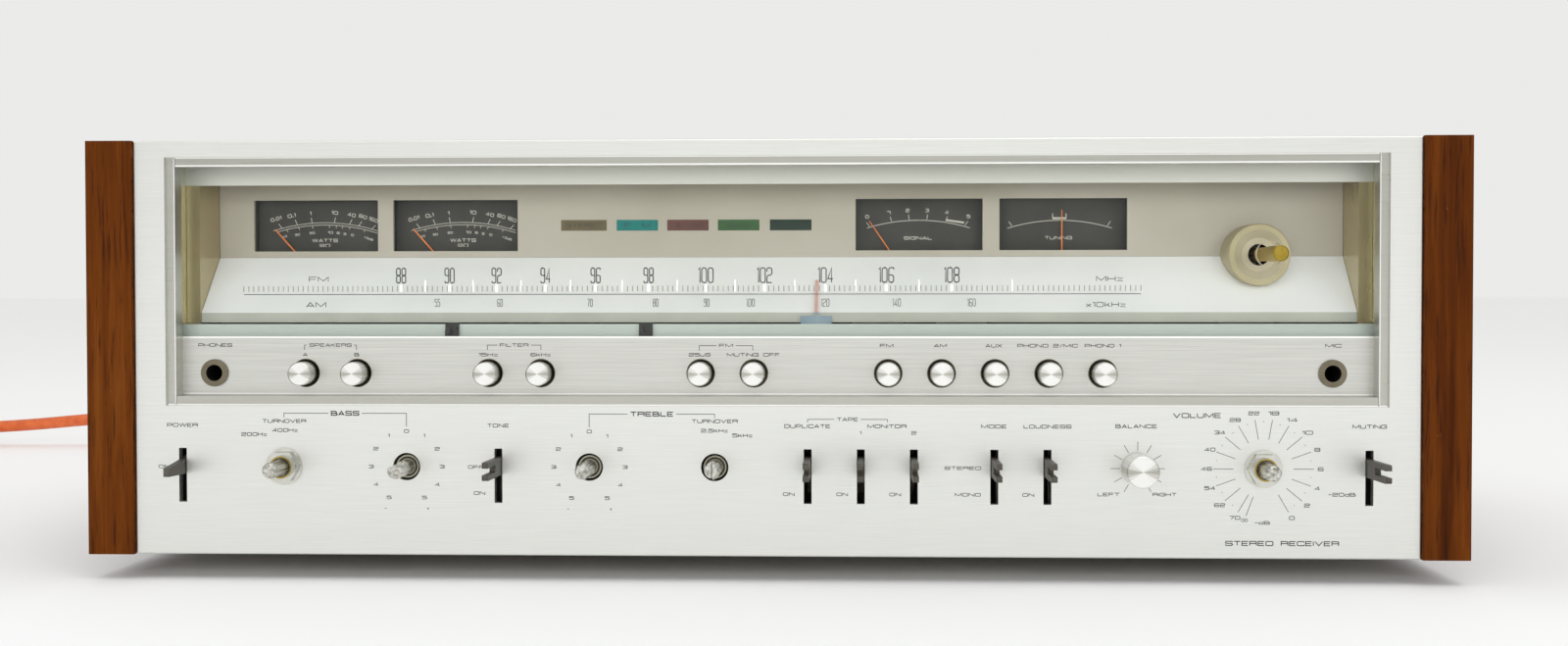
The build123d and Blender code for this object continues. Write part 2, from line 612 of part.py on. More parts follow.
# Rear connectors: speaker terminals, phono sockets, aerial screws, mains outlets, earth post,
# the aerial's bracket and the mains lead's strain relief.
AERIAL_PIVOT = (214.0, 193.0)
AERIAL_Z = 148.0
AERIAL_R = 7.0
AERIAL_LONG = 150.0
OUT = REAR_DEPTH
with BuildPart() as rear_connectors:
    for block_x in (-110, -30):
        block((block_x - 34, block_x + 34), (OUT, OUT + 11), (34, 62))
        for tab in range(4):
            tab_x = block_x - 24 + 16 * tab
            block((tab_x - 4.5, tab_x + 4.5), (OUT + 11, OUT + 17), (36, 46))
            post_y(tab_x, 54, (OUT + 6, OUT + 12), 2.6, mode=Mode.SUBTRACT)
    for column in range(8):
        for row in (0, 1):
            socket_x = 38 + 20 * column
            socket_z = 50 + 22 * row
            post_y(socket_x, socket_z, (OUT, OUT + 1.5), 6.5)
            post_y(socket_x, socket_z, (OUT + 1, OUT + 11), 4.15)
            post_y(socket_x, socket_z, (OUT + 3, OUT + 12), 1.6, mode=Mode.SUBTRACT)
    block((60, 130), (OUT, OUT + 6), (104, 122))
    for screw in range(5):
        post_y(68 + 13.5 * screw, 113, (OUT + 6, OUT + 9), 3.6)
    for outlet_x in (-190, -140, -90):
        block((outlet_x - 17, outlet_x + 17), (OUT, OUT + 5), (92, 120))
        for slot_x in (-6.4, 6.4):
            block(
                (outlet_x + slot_x - 1, outlet_x + slot_x + 1),
                (OUT + 0.5, OUT + 6),
                (102, 111),
                mode=Mode.SUBTRACT,
            )
    post_y(18, 88, (OUT, OUT + 12), 4)
    post_y(-30, 105, (OUT, OUT + 14), 6.5)
    for arm_z in ((AERIAL_Z - 12, AERIAL_Z - 8.1), (AERIAL_Z + 8.1, AERIAL_Z + 12)):
        block((AERIAL_PIVOT[0] - 6, AERIAL_PIVOT[0] + 6), (OUT + 0.02, OUT + 20), arm_z)
    block(
        (AERIAL_PIVOT[0] - 6, AERIAL_PIVOT[0] + 6),
        (OUT, OUT + 2),
        (AERIAL_Z - 14, AERIAL_Z + 14),
    )
    post_z(AERIAL_PIVOT[0], AERIAL_PIVOT[1] - FRONT_Y, (AERIAL_Z - 12, AERIAL_Z + 12), 2.0)
    post_y(LEAD_EXIT_X, LEAD_EXIT_Z, (OUT, OUT + 4), 9.5)
    cone_y(
        LEAD_EXIT_X,
        LEAD_EXIT_Z,
        (OUT + 3.9, RELIEF_END_Y - FRONT_Y),
        (7.6, LEAD_D / 2 + 1.2),
    )
rear_connectors.part.label = "rear_connectors"
export_step(rear_connectors.part, "parts/rear_connectors.step")

# Screws: pan heads with a cross recess, on the rear panel and under the chassis.
REAR_SCREWS = [(x, z) for x in (-236, -80, 80, 236) for z in (18, 158)]
REAR_SCREWS += [(-236, 88), (236, 88)]
with BuildPart() as screws:
    for screw_x, screw_z in REAR_SCREWS:
        post_y(screw_x, screw_z, (OUT, OUT + 2.2), 3.2)
    fillet(screws.edges().group_by(Axis.Y)[-1], 1.0)
    for screw_x, screw_z in REAR_SCREWS:
        for wide, tall in ((3.6, 0.9), (0.9, 3.6)):
            block(
                (screw_x - wide / 2, screw_x + wide / 2),
                (OUT + 1.1, OUT + 3),
                (screw_z - tall / 2, screw_z + tall / 2),
                mode=Mode.SUBTRACT,
            )
screws.part.label = "screws"
export_step(screws.part, "parts/screws.step")


# Levers: a flat tongue on a hub, bent down a little where it passes the faceplate. The power
# lever tapers to a plain end, the others end in a fork.
def lever(lever_x, forked):
    bend_y = -(LEVER_PIVOT - BEND_DEPTH)
    bend_angle = LEVER_BEND if forked else POWER_BEND
    reach = (LEVER_REACH if forked else POWER_REACH) + BEND_DEPTH
    with BuildPart() as built:
        with BuildSketch(facing_right(-LEVER_T / 2)):
            Circle(LEVER_HUB_R)
            with Locations(((bend_y - 1) / 2, 0)):
                Rectangle(1 - bend_y, LEVER_H)
            with Locations(Location((bend_y, 0), bend_angle)):
                if forked:
                    with Locations((1 - reach / 2, 0)):
                        RectangleRounded(reach + 2, LEVER_H, 1.05)
                    with Locations(((NOTCH_LONG - 1) / 2 - reach, 0)):
                        Rectangle(NOTCH_LONG + 1, NOTCH_H, mode=Mode.SUBTRACT)
                    with Locations((NOTCH_LONG - reach, 0)):
                        Circle(NOTCH_H / 2 + 0.3, mode=Mode.SUBTRACT)
                else:
                    tongue = [(2, 3.4), (2, -3.4), (-reach, -2.0), (-reach, 1.2), (-4, 2.7)]
                    Polygon(*tongue, align=None)
            Circle(LEVER_PIN_R + SHAFT_FIT, mode=Mode.SUBTRACT)
        extrude(amount=LEVER_T)
    at_rest = Location((lever_x, FRONT_Y + LEVER_PIVOT, LEVER_Z), (-LEVER_REST, 0, 0))
    return built.part.moved(at_rest)


for lever_name, lever_x in LEVERS.items():
    lever_part = lever(lever_x, lever_name != "power_lever")
    lever_part.label = lever_name
    export_step(lever_part, f"parts/{lever_name}.step")


# Rotary controls: 6 mm shafts with the ends that their knobs grip, and one plain small knob.
def rotary_shaft(rotary):
    x = ROTARIES[rotary]
    with BuildPart() as built:
        post_y(x, ROTARY_Z, (-SHAFT_OUT, -6), SHAFT_R)
        end_edge = built.edges().group_by(Axis.Y)[0]
        if rotary == "volume_shaft":
            fillet(end_edge, 1.2)
        else:
            chamfer(end_edge, 0.5)
        post_y(x, ROTARY_Z, (-6.5, 29), JOURNAL_R)
        if rotary in ("bass_turnover_shaft", "treble_shaft"):
            with BuildSketch(facing_front(-SHAFT_OUT)):
                with Locations((x, ROTARY_Z)):
                    with PolarLocations(SHAFT_R, 18):
                        Rectangle(0.55, 0.5)
            extrude(amount=-11, mode=Mode.SUBTRACT)
        if rotary == "bass_shaft":
            block((x - 4, x + 4), (-SHAFT_OUT, -6), (ROTARY_Z + 1.4, ROTARY_Z + 4), Mode.SUBTRACT)
        if rotary == "treble_turnover_shaft":
            block((x - 0.5, x + 0.5), (-SHAFT_OUT, -8), (ROTARY_Z - 4, ROTARY_Z + 4), Mode.SUBTRACT)
            block((x - 4, x), (-SHAFT_OUT, -12), (ROTARY_Z - 4, ROTARY_Z + 4), Mode.SUBTRACT)
    return built.part


def balance_knob():
    x = ROTARIES["balance_knob"]
    with BuildPart() as built:
        post_y(x, ROTARY_Z, (-14.5, -0.5), 6.1)
        fillet(built.edges().group_by(Axis.Y)[0], 0.7)
        post_y(x, ROTARY_Z, (-1, 29), JOURNAL_R)
    return built.part


for rotary_name in ROTARIES:
    turned = balance_knob() if rotary_name == "balance_knob" else rotary_shaft(rotary_name)
    turned.label = rotary_name
    export_step(turned, f"parts/{rotary_name}.step")

# Tuning shaft with its flywheel and the capstan that the dial cord winds on.
with BuildPart() as tuning_shaft:
    post_y(TUNING_X, TUNING_Z, (-10, 7), SHAFT_R)
    chamfer(tuning_shaft.edges().group_by(Axis.Y)[0], 0.5)
    post_y(TUNING_X, TUNING_Z, (6, 94), JOURNAL_R)
    post_y(TUNING_X, TUNING_Z, (68, 80), 23)
    fillet(tuning_shaft.edges().filter_by(GeomType.CIRCLE).group_by(SortBy.RADIUS)[-1], 1.0)
    post_y(TUNING_X, TUNING_Z, (84, 92), CAPSTAN_R)
tuning_shaft.part.label = "tuning_shaft"
export_step(tuning_shaft.part, "parts/tuning_shaft.step")

# Tuning drum: the wheel on the tuning capacitor's spindle that the dial cord turns.
with BuildPart() as tuning_drum:
    post_y(DRUM_X, DRUM_Z, DRUM_DEPTH, DRUM_R)
    with BuildSketch(facing_front(DRUM_DEPTH[0])):
        with Locations((DRUM_X, DRUM_Z)):
            with PolarLocations(26, 4):
                Circle(10)
    extrude(amount=-long(DRUM_DEPTH), mode=Mode.SUBTRACT)
    post_y(DRUM_X, DRUM_Z, (DRUM_DEPTH[0] - 1, DRUM_DEPTH[1] + 1), 3.0, mode=Mode.SUBTRACT)
tuning_drum.part.label = "tuning_drum"
export_step(tuning_drum.part, "parts/tuning_drum.step")

# Dial pointer: a carriage that slides on the guide rod, and a needle laid along the scale.
with BuildPart() as dial_pointer:
    block((POINTER_X - 8, POINTER_X + 8), (19.4, 31), (90, 98))
    post_x((POINTER_X - 9, POINTER_X + 9), GUIDE_ROD[0], GUIDE_ROD[1], GUIDE_ROD_R + 0.06, Mode.SUBTRACT)
    block((POINTER_X - 6, POINTER_X + 6), (19.4, 20.6), (97, 101.4))
    with BuildSketch(facing_right(POINTER_X - 0.5)):
        with BuildLine():
            needle_points = [
                (19.4, 100),
                (20.2, 100),
                (20.2, 102.5),
                (32.6, 114.9),
                (32.0, 115.5),
                (19.4, 102.9),
            ]
            Polyline(*[profile_point(point) for point in needle_points], close=True)
        make_face()
    extrude(amount=1.0)
dial_pointer.part.label = "dial_pointer"
export_step(dial_pointer.part, "parts/dial_pointer.step")

# Station markers: two clips that slide along the rail, each with a pair of fins in front of it.
MARKER_STRAP = 0.4
FIN_T = 0.8
for marker_name, marker_x in MARKERS.items():
    with BuildPart() as marker:
        block((marker_x - 2.6, marker_x + 2.6), (12.6, 17.0), (93.4, RAIL_TOP_Z + MARKER_STRAP))
        block(
            (marker_x - 3, marker_x + 3),
            (RAIL_DEPTH[0] - 0.1, RAIL_DEPTH[1] + 0.1),
            (93, RAIL_TOP_Z + 0.1),
            mode=Mode.SUBTRACT,
        )
        with BuildSketch(facing_front(12.6)):
            for fin in (-1, 1):
                with BuildLine():
                    fin_x = marker_x + fin * 1.5
                    Polyline(
                        (fin_x - 1.1, 93.4),
                        (fin_x + 1.1, 93.4),
                        (fin_x + 1.1, 95.6),
                        (fin_x + 0.4, 97.4),
                        (fin_x - 0.4, 97.4),
                        (fin_x - 1.1, 95.6),
                        close=True,
                    )
                make_face()
        extrude(amount=FIN_T)
    marker.part.label = marker_name
    export_step(marker.part, f"parts/{marker_name}.step")

# Push buttons: a turned cap that stands out of the strip, on a plunger in its switch.
for button_name, button_x in BUTTONS.items():
    with BuildPart() as button:
        post_y(button_x, BUTTON_Z, (-0.5, 16), BUTTON_R)
        chamfer(button.edges().group_by(Axis.Y)[0], 0.35)
        post_y(button_x, BUTTON_Z, (15, 35), 2.0)
    button.part.label = button_name
    export_step(button.part, f"parts/{button_name}.step")

# Meter needles: a thin arm on a hub, with a short tail that balances it.
for meter_name, (meter_x, pivot_z, needle_length) in METERS.items():
    with BuildPart() as needle:
        with BuildSketch(Plane.XY):
            Circle(1.9)
            with Locations((0, needle_length / 2)):
                Trapezoid(0.8, needle_length, 89.6)
            Circle(0.75, mode=Mode.SUBTRACT)
        extrude(amount=0.5)
        with BuildSketch(Plane.XY.offset(-1)):
            with Locations((0, -3.6)):
                Rectangle(5, 4.6)
        extrude(amount=1.5)
    upright = Location((meter_x, FRONT_Y + NEEDLE_DEPTH, pivot_z), (90, 0, 0))
    tilted = Location((0, 0, 0), (0, 0, -NEEDLE_REST[meter_name]))
    needle_part = needle.part.moved(upright * tilted)
    needle_part.label = f"{meter_name}_needle"
    export_step(needle_part, f"parts/{meter_name}_needle.step")

# Bar aerial: a rod that swings out from the rear panel on an upright pin.
AERIAL_DEPTH = AERIAL_PIVOT[1] - FRONT_Y
with BuildPart() as bar_aerial:
    aerial_x = (AERIAL_PIVOT[0] - AERIAL_LONG, AERIAL_PIVOT[0] - 10)
    post_x(aerial_x, AERIAL_DEPTH, AERIAL_Z, AERIAL_R)
    with Locations((AERIAL_PIVOT[0] - 5, AERIAL_PIVOT[1], AERIAL_Z)):
        Box(16, 9, 16)
    fillet(bar_aerial.faces().sort_by(Axis.X)[0].edges(), 2.0)
    post_z(AERIAL_PIVOT[0], AERIAL_DEPTH, (AERIAL_Z - 9, AERIAL_Z + 9), 2.06, Mode.SUBTRACT)
bar_aerial.part.label = "bar_aerial"
export_step(bar_aerial.part, "parts/bar_aerial.step")

# Mains lead: straight runs joined by arcs that are as large as the runs allow.
def bend_radii(points):
    """A radius for each corner: 0.45 of its shorter run, over the tangent of half its turn."""
    radii = []
    for before, corner, after in zip(points, points[1:], points[2:]):
        run_in = Vector(*corner) - Vector(*before)
        run_out = Vector(*after) - Vector(*corner)
        half_turn = math.radians(run_in.get_angle(run_out)) / 2
        radii.append(0.45 * min(run_in.length, run_out.length) / math.tan(half_turn))
    return radii


lead_radii = bend_radii(LEAD_ROUTE)
print("lead radii", [round(radius) for radius in lead_radii])
with BuildPart() as power_cord:
    with BuildLine() as lead_path:
        FilletPolyline(*LEAD_ROUTE, radius=lead_radii)
    with BuildSketch(Plane(lead_path.line @ 0, z_dir=lead_path.line % 0)):
        Circle(LEAD_D / 2)
    sweep()
lead_length = sum(edge.length for edge in lead_path.edges())
lead_section = math.pi * LEAD_D**2 / 4
print("lead length", round(lead_length, 1), "volume", round(power_cord.part.volume))
print("section times length", round(lead_section * lead_length))
power_cord.part.label = "power_cord"
export_step(power_cord.part, "parts/power_cord.step")

# The wound-up rest of the lead, as one ring of its outer shape.
with BuildPart() as cord_coil:
    with Locations((*COIL_AT, COIL_TALL / 2)):
        Cylinder(COIL_R + COIL_WIDE / 2, COIL_TALL)
        Cylinder(COIL_R - COIL_WIDE / 2, COIL_TALL, mode=Mode.SUBTRACT)
    fillet(cord_coil.edges().filter_by(GeomType.CIRCLE), 4)
cord_coil.part.label = "cord_coil"
export_step(cord_coil.part, "parts/cord_coil.step")

# Mains plug, lying beside the coil with its two flat pins.
PLUG_Y = (258.0, 296.0)
PLUG_Z = 13.0
with BuildPart() as power_plug:
    with BuildSketch(Plane(origin=(PLUG_X, PLUG_Y[0], PLUG_Z), x_dir=(1, 0, 0), z_dir=(0, 1, 0))):
        RectangleRounded(27, 25, 6)
    with BuildSketch(Plane(origin=(PLUG_X, PLUG_Y[1], PLUG_Z), x_dir=(1, 0, 0), z_dir=(0, 1, 0))):
        RectangleRounded(15, 15, 5)
    loft()
    with Locations(Location((PLUG_X, PLUG_Y[1] + 15, PLUG_Z - 2), (-90, 0, 0))):
        Cone(6.2, 5.0, 32)
    for pin_x in (-6.4, 6.4):
        with Locations((PLUG_X + pin_x, PLUG_Y[0] - 8, PLUG_Z)):
            Box(1.5, 18, 6.4)
power_plug.part.label = "power_plug"
export_step(power_plug.part, "parts/power_plug.step")
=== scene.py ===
import math

import bmesh
import bpy
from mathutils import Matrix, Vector


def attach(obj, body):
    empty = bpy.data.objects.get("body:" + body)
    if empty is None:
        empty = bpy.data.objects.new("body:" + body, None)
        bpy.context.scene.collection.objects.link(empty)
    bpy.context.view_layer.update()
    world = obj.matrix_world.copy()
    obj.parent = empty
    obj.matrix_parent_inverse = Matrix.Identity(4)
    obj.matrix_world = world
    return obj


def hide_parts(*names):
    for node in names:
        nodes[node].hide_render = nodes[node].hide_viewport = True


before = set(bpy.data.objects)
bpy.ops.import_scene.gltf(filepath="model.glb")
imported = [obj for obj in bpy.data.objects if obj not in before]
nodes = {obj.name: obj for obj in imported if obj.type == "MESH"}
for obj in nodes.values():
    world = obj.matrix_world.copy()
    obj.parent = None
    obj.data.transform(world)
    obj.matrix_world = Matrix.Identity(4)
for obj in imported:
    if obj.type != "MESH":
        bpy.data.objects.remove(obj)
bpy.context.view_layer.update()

# The frame's driving places, the same as in the part's source. They are in millimetres, apart
# from FRONT_Y, with "depth" as the distance behind the faceplate's front.
MM = 0.001
FRONT_Y = -0.174
FRAME_DEPTH = 1.5
STRIP_DEPTH = 8.5
GLASS_X = 231.8
MASK_Z = 152.85
DIAL_FLOOR_TOP_Z = 88.0
SCALE_FOOT_Z = 102.65
TUNING_AT = (190.1, 125.0)
POINTER_X = 17.3
BUTTON_Z = 79.5
BUTTON_AT = [-180.7, -160.4, -109.1, -88.8, -26.9, -6.4, 45.2, 65.6, 86.0, 106.5, 127.0]
JACK_AT = [-216.5, 213.7]
POWER_METERS_X = (-186.8, -129.6)
POWER_PIVOT_Z = 115.7
SIGNAL_METER_X, TUNING_METER_X = 58.1, 115.7
SMALL_PIVOT_Z = 110.0
LENS_AT = [-77.2, -55.5, -35.0, -14.5, 6.5]
LENS_HALF_W = 10.1
LENS_Z = 137.5
ROTARY_Z = 44.0
BASS_X, TREBLE_X = -139.3, -68.9
BASS_TURN_X, TREBLE_TURN_X = -186.8, -20.9
BALANCE_X, VOLUME_X = 139.1, 186.1
PLUG_FRONT_DEPTH = 432.0


def at(x, depth, z):
    """A point given in millimetres: X, the distance behind the faceplate's front, and Z."""
    return Vector((x * MM, FRONT_Y + depth * MM, z * MM))


def srgb(red, green, blue):
    """A colour from screen values of 0 to 255."""
    linear = []
    for value in (red, green, blue):
        share = value / 255
        linear.append(share / 12.92 if share <= 0.04045 else ((share + 0.055) / 1.055) ** 2.4)
    return (*linear, 1.0)


# Materials


def shader_of(material):
    """The Principled shader of a material."""
    return material.node_tree.nodes["Principled BSDF"]


def plain(name, colour, roughness=0.5, metallic=0.0, **sockets):
    """A Principled material, with constant values on its own sockets."""
    material = bpy.data.materials.new(name)
    material.use_nodes = True
    shader = shader_of(material)
    shader.inputs["Base Color"].default_value = colour
    shader.inputs["Roughness"].default_value = roughness
    shader.inputs["Metallic"].default_value = metallic
    for socket, value in sockets.items():
        shader.inputs[socket.replace("_", " ")].default_value = value
    return material


def noise_of(material, scale, stretch=(1, 1, 1), detail=4.0, rough=0.6, distortion=0.0):
    """A noise texture in the object's own coordinates, with its X, Y and Z stretched apart."""
    tree = material.node_tree
    place = tree.nodes.new("ShaderNodeTexCoord")
    mapping = tree.nodes.new("ShaderNodeMapping")
    mapping.inputs["Scale"].default_value = stretch
    noise = tree.nodes.new("ShaderNodeTexNoise")
    noise.inputs["Scale"].default_value = scale
    noise.inputs["Detail"].default_value = detail
    noise.inputs["Roughness"].default_value = rough
    noise.inputs["Distortion"].default_value = distortion
    tree.links.new(place.outputs["Object"], mapping.inputs["Vector"])
    tree.links.new(mapping.outputs["Vector"], noise.inputs["Vector"])
    return noise


def ramp(material, source, stops):
    """A colour ramp over source, from (place, colour) stops."""
    node = material.node_tree.nodes.new("ShaderNodeValToRGB")
    marks = node.color_ramp.elements
    while len(marks) < len(stops):
        marks.new(0.5)
    for mark, (place, colour) in zip(marks, stops):
        mark.position = place
        mark.color = colour
    material.node_tree.links.new(source, node.inputs["Fac"])
    return node


def spread(material, source, low, high, from_low=0.3, from_high=0.7):
    """A number that runs from low to high as source runs over the middle of its range."""
    node = material.node_tree.nodes.new("ShaderNodeMapRange")
    node.inputs["From Min"].default_value = from_low
    node.inputs["From Max"].default_value = from_high
    node.inputs["To Min"].default_value = low
    node.inputs["To Max"].default_value = high
    material.node_tree.links.new(source, node.inputs["Value"])
    return node


def bump(material, source, strength, distance):
    """Small relief from source, with its depth in metres."""
    node = material.node_tree.nodes.new("ShaderNodeBump")
    node.inputs["Strength"].default_value = strength
    node.inputs["Distance"].default_value = distance
    material.node_tree.links.new(source, node.inputs["Height"])
    material.node_tree.links.new(node.outputs["Normal"], shader_of(material).inputs["Normal"])


def mottled(
    name,
    dark,
    light,
    roughness,
    scale,
    stretch=(1, 1, 1),
    metallic=0.0,
    bumpy=0.0,
    depth=0.0002,
    rough_range=None,
    **sockets,
):
    """A material that drifts between two tones, with bump and roughness from the same noise."""
    material = plain(name, light, roughness, metallic, **sockets)
    noise = noise_of(material, scale, stretch)
    colours = ramp(material, noise.outputs["Fac"], [(0.3, dark), (0.7, light)])
    links = material.node_tree.links
    links.new(colours.outputs["Color"], shader_of(material).inputs["Base Color"])
    if rough_range:
        worn = spread(material, noise.outputs["Fac"], *rough_range)
        links.new(worn.outputs["Result"], shader_of(material).inputs["Roughness"])
    if bumpy:
        bump(material, noise.outputs["Fac"], bumpy, depth)
    return material


def wear(material, scale, colour, amount, edge):
    """Adds sparse spots of another colour over the base colour, where the noise is past edge."""
    tree = material.node_tree
    shader = shader_of(material)
    source = shader.inputs["Base Color"].links[0].from_socket
    noise = noise_of(material, scale, detail=5.0)
    mask = spread(material, noise.outputs["Fac"], 0.0, amount, *edge)
    mix = tree.nodes.new("ShaderNodeMix")
    mix.data_type = "RGBA"
    tree.links.new(mask.outputs["Result"], mix.inputs["Factor"])
    tree.links.new(source, mix.inputs["A"])
    mix.inputs["B"].default_value = colour
    tree.links.new(mix.outputs["Result"], shader.inputs["Base Color"])
    return material


ALONG_X = (0.012, 0.6, 1.0)
ALONG_Z = (1.0, 0.6, 0.012)

face_metal = mottled(
    "face_metal", srgb(230, 231, 226), srgb(239, 240, 235), 0.42, 3600, ALONG_X,
    metallic=1.0, bumpy=0.05, depth=0.00003, rough_range=(0.38, 0.48), Anisotropic=0.35,
)
strip_metal = mottled(
    "strip_metal", srgb(204, 204, 198), srgb(224, 224, 218), 0.38, 2400, ALONG_X,
    metallic=1.0, bumpy=0.08, depth=0.00004, rough_range=(0.34, 0.46), Anisotropic=0.35,
)
frame_metal = mottled(
    "frame_metal", srgb(183, 183, 174), srgb(190, 190, 182), 0.3, 900, ALONG_X,
    metallic=1.0, rough_range=(0.27, 0.33),
)
reveal_metal = mottled(
    "reveal_metal", srgb(216, 218, 202), srgb(224, 226, 210), 0.16, 300, ALONG_Z,
    metallic=1.0, rough_range=(0.12, 0.18),
)


def spun(name, dark, light):
    """Turned end face with its bow-tie highlight painted in: tones that fan out from the centre,
    painted shade to the sides and painted highlight up and down.
    """
    material = plain(name, light, 0.3, 1.0, Anisotropic=0.4)
    tree = material.node_tree
    place = tree.nodes.new("ShaderNodeTexCoord")
    centred = tree.nodes.new("ShaderNodeVectorMath")
    centred.operation = "SUBTRACT"
    centred.inputs[1].default_value = (0.5, 0.5, 0.5)
    tree.links.new(place.outputs["Generated"], centred.inputs[0])
    flat = tree.nodes.new("ShaderNodeVectorMath")
    flat.operation = "MULTIPLY"
    flat.inputs[1].default_value = (1.0, 0.0, 1.0)
    tree.links.new(centred.outputs["Vector"], flat.inputs[0])
    outward = tree.nodes.new("ShaderNodeVectorMath")
    outward.operation = "NORMALIZE"
    tree.links.new(flat.outputs["Vector"], outward.inputs[0])
    parts = tree.nodes.new("ShaderNodeSeparateXYZ")
    tree.links.new(outward.outputs["Vector"], parts.inputs["Vector"])
    upright = tree.nodes.new("ShaderNodeMath")
    upright.operation = "ABSOLUTE"
    tree.links.new(parts.outputs["Z"], upright.inputs[0])
    fan = tree.nodes.new("ShaderNodeTexNoise")
    fan.inputs["Scale"].default_value = 9.0
    fan.inputs["Detail"].default_value = 3.0
    tree.links.new(outward.outputs["Vector"], fan.inputs["Vector"])
    drift = spread(material, fan.outputs["Fac"], -0.16, 0.16)
    total = tree.nodes.new("ShaderNodeMath")
    total.operation = "ADD"
    tree.links.new(upright.outputs["Value"], total.inputs[0])
    tree.links.new(drift.outputs["Result"], total.inputs[1])
    # Painted highlight and shade: light where the cap's radius points up or down, dark where it
    # points to the sides.
    tones = ramp(material, total.outputs["Value"], [(0.12, dark), (0.62, light)])
    tree.links.new(tones.outputs["Color"], shader_of(material).inputs["Base Color"])
    tangent = tree.nodes.new("ShaderNodeTangent")
    tangent.direction_type = "RADIAL"
    tangent.axis = "Y"
    tree.links.new(tangent.outputs["Tangent"], shader_of(material).inputs["Tangent"])
    return material


# Buttons and balance knob: turned aluminium whose bow-tie highlight and shade are painted into its
# colour.
spun_metal_painted_sheen = spun("spun_metal_painted_sheen", srgb(178, 177, 167), srgb(242, 242, 238))
# Painted highlight: near-white lines laid along the edges of the window frame and the button strip.
painted_edge_highlight = plain("painted_edge_highlight", srgb(250, 250, 247), 0.3, 0.85)
# Painted light: the window frame's top mask band, painted paler than the frame's metal to make up
# for the shade of the bar above it.
mask_metal_painted_light = mottled(
    "mask_metal_painted_light", srgb(214, 214, 204), srgb(222, 222, 213), 0.45, 40, (0.05, 1, 1), metallic=0.35,
    rough_range=(0.4, 0.5),
)
# Painted shade: an olive-dark ring for the shaded clearance round each button hole.
hole_rim_shade = mottled("hole_rim_shade", srgb(74, 68, 46), srgb(104, 98, 72), 0.5, 200)
joint_dark = plain("joint_dark", srgb(92, 90, 80), 0.6)
# Partly the knurl's real streaks, partly painted shade and highlight: the wide dark-to-bright range
# stands for the ridges' dark lines and bright glints.
shaft_metal = mottled(
    "shaft_metal", srgb(122, 119, 106), srgb(236, 235, 228), 0.28, 760, (1, 0.06, 1),
    metallic=1.0, bumpy=0.12, depth=0.00008, rough_range=(0.2, 0.36),
)
brass = mottled(
    "brass", srgb(158, 134, 52), srgb(182, 158, 70), 0.36, 600, (1, 0.15, 1),
    metallic=1.0, bumpy=0.1, depth=0.00006, rough_range=(0.28, 0.45),
)
nickel = mottled(
    "nickel", srgb(190, 190, 182), srgb(214, 214, 206), 0.2, 300,
    metallic=1.0, rough_range=(0.14, 0.26),
)
lever_metal = mottled(
    "lever_metal", srgb(60, 57, 50), srgb(94, 91, 82), 0.5, 420,
    metallic=0.5, bumpy=0.25, depth=0.0002, rough_range=(0.42, 0.6),
)
plated_steel = mottled(
    "plated_steel", srgb(150, 146, 126), srgb(182, 178, 160), 0.4, 40,
    metallic=0.9, rough_range=(0.34, 0.48),
)
black_paint = mottled(
    "black_paint", srgb(34, 34, 35), srgb(50, 50, 51), 0.6, 2600,
    bumpy=0.5, depth=0.0002, rough_range=(0.55, 0.68),
)
dial_grey = mottled(
    "dial_grey", srgb(172, 166, 150), srgb(184, 179, 166), 0.55, 14,
    rough_range=(0.5, 0.6),
)
scale_white = mottled(
    "scale_white", srgb(238, 241, 239), srgb(244, 246, 244), 0.42, 20,
    rough_range=(0.38, 0.46),
)
# Painted shade: the scale plate's folded lip and back, the same white sheet painted grey for the
# shade under the plate's edge.
lip_painted_shade = mottled("lip_painted_shade", srgb(178, 180, 168), srgb(188, 190, 178), 0.45, 60)
cheek_brown = mottled(
    "cheek_brown", srgb(190, 174, 132), srgb(206, 192, 150), 0.24, 60, (1, 1, 0.15),
    metallic=0.75, rough_range=(0.2, 0.3),
)
rail_grey = mottled("rail_grey", srgb(174, 183, 174), srgb(190, 198, 189), 0.4, 50, (0.05, 1, 1))
# Painted shade: near-black for gaps, bores and hollows where little light reaches.
painted_hollow_shade = mottled("painted_hollow_shade", srgb(22, 22, 22), srgb(30, 30, 30), 0.7, 60)
collar_cream = mottled(
    "collar_cream", srgb(172, 161, 124), srgb(188, 178, 142), 0.42, 30,
    rough_range=(0.36, 0.48),
)
collar_dish = mottled("collar_dish", srgb(170, 160, 132), srgb(196, 187, 160), 0.3, 60)
socket_brown = mottled("socket_brown", srgb(84, 76, 58), srgb(104, 96, 76), 0.34, 120)
socket_black = plain("socket_black", srgb(18, 17, 16), 0.6)
marker_black = mottled("marker_black", srgb(30, 30, 28), srgb(52, 52, 48), 0.45, 300)
needle_orange = mottled("needle_orange", srgb(214, 116, 52), srgb(238, 142, 72), 0.5, 200)
pointer_pink = mottled("pointer_pink", srgb(214, 160, 150), srgb(232, 186, 176), 0.35, 200)
pointer_blue = mottled("pointer_blue", srgb(118, 140, 152), srgb(150, 168, 176), 0.4, 90)
board_green = mottled("board_green", srgb(58, 74, 36), srgb(84, 98, 52), 0.5, 90, bumpy=0.1)
drum_white = mottled("drum_white", srgb(188, 186, 172), srgb(208, 206, 194), 0.5, 60)
sink_black = mottled(
    "sink_black", srgb(26, 26, 27), srgb(44, 44, 46), 0.5, 300, (1, 1, 0.05), metallic=0.6
)
transformer_paint = mottled(
    "transformer_paint", srgb(28, 28, 28), srgb(46, 46, 44), 0.5, 200, bumpy=0.2
)
connector_black = mottled(
    "connector_black", srgb(24, 24, 24), srgb(40, 40, 40), 0.45, 260, bumpy=0.15
)
foot_rubber = mottled("foot_rubber", srgb(24, 24, 24), srgb(38, 38, 38), 0.75, 500, bumpy=0.3)
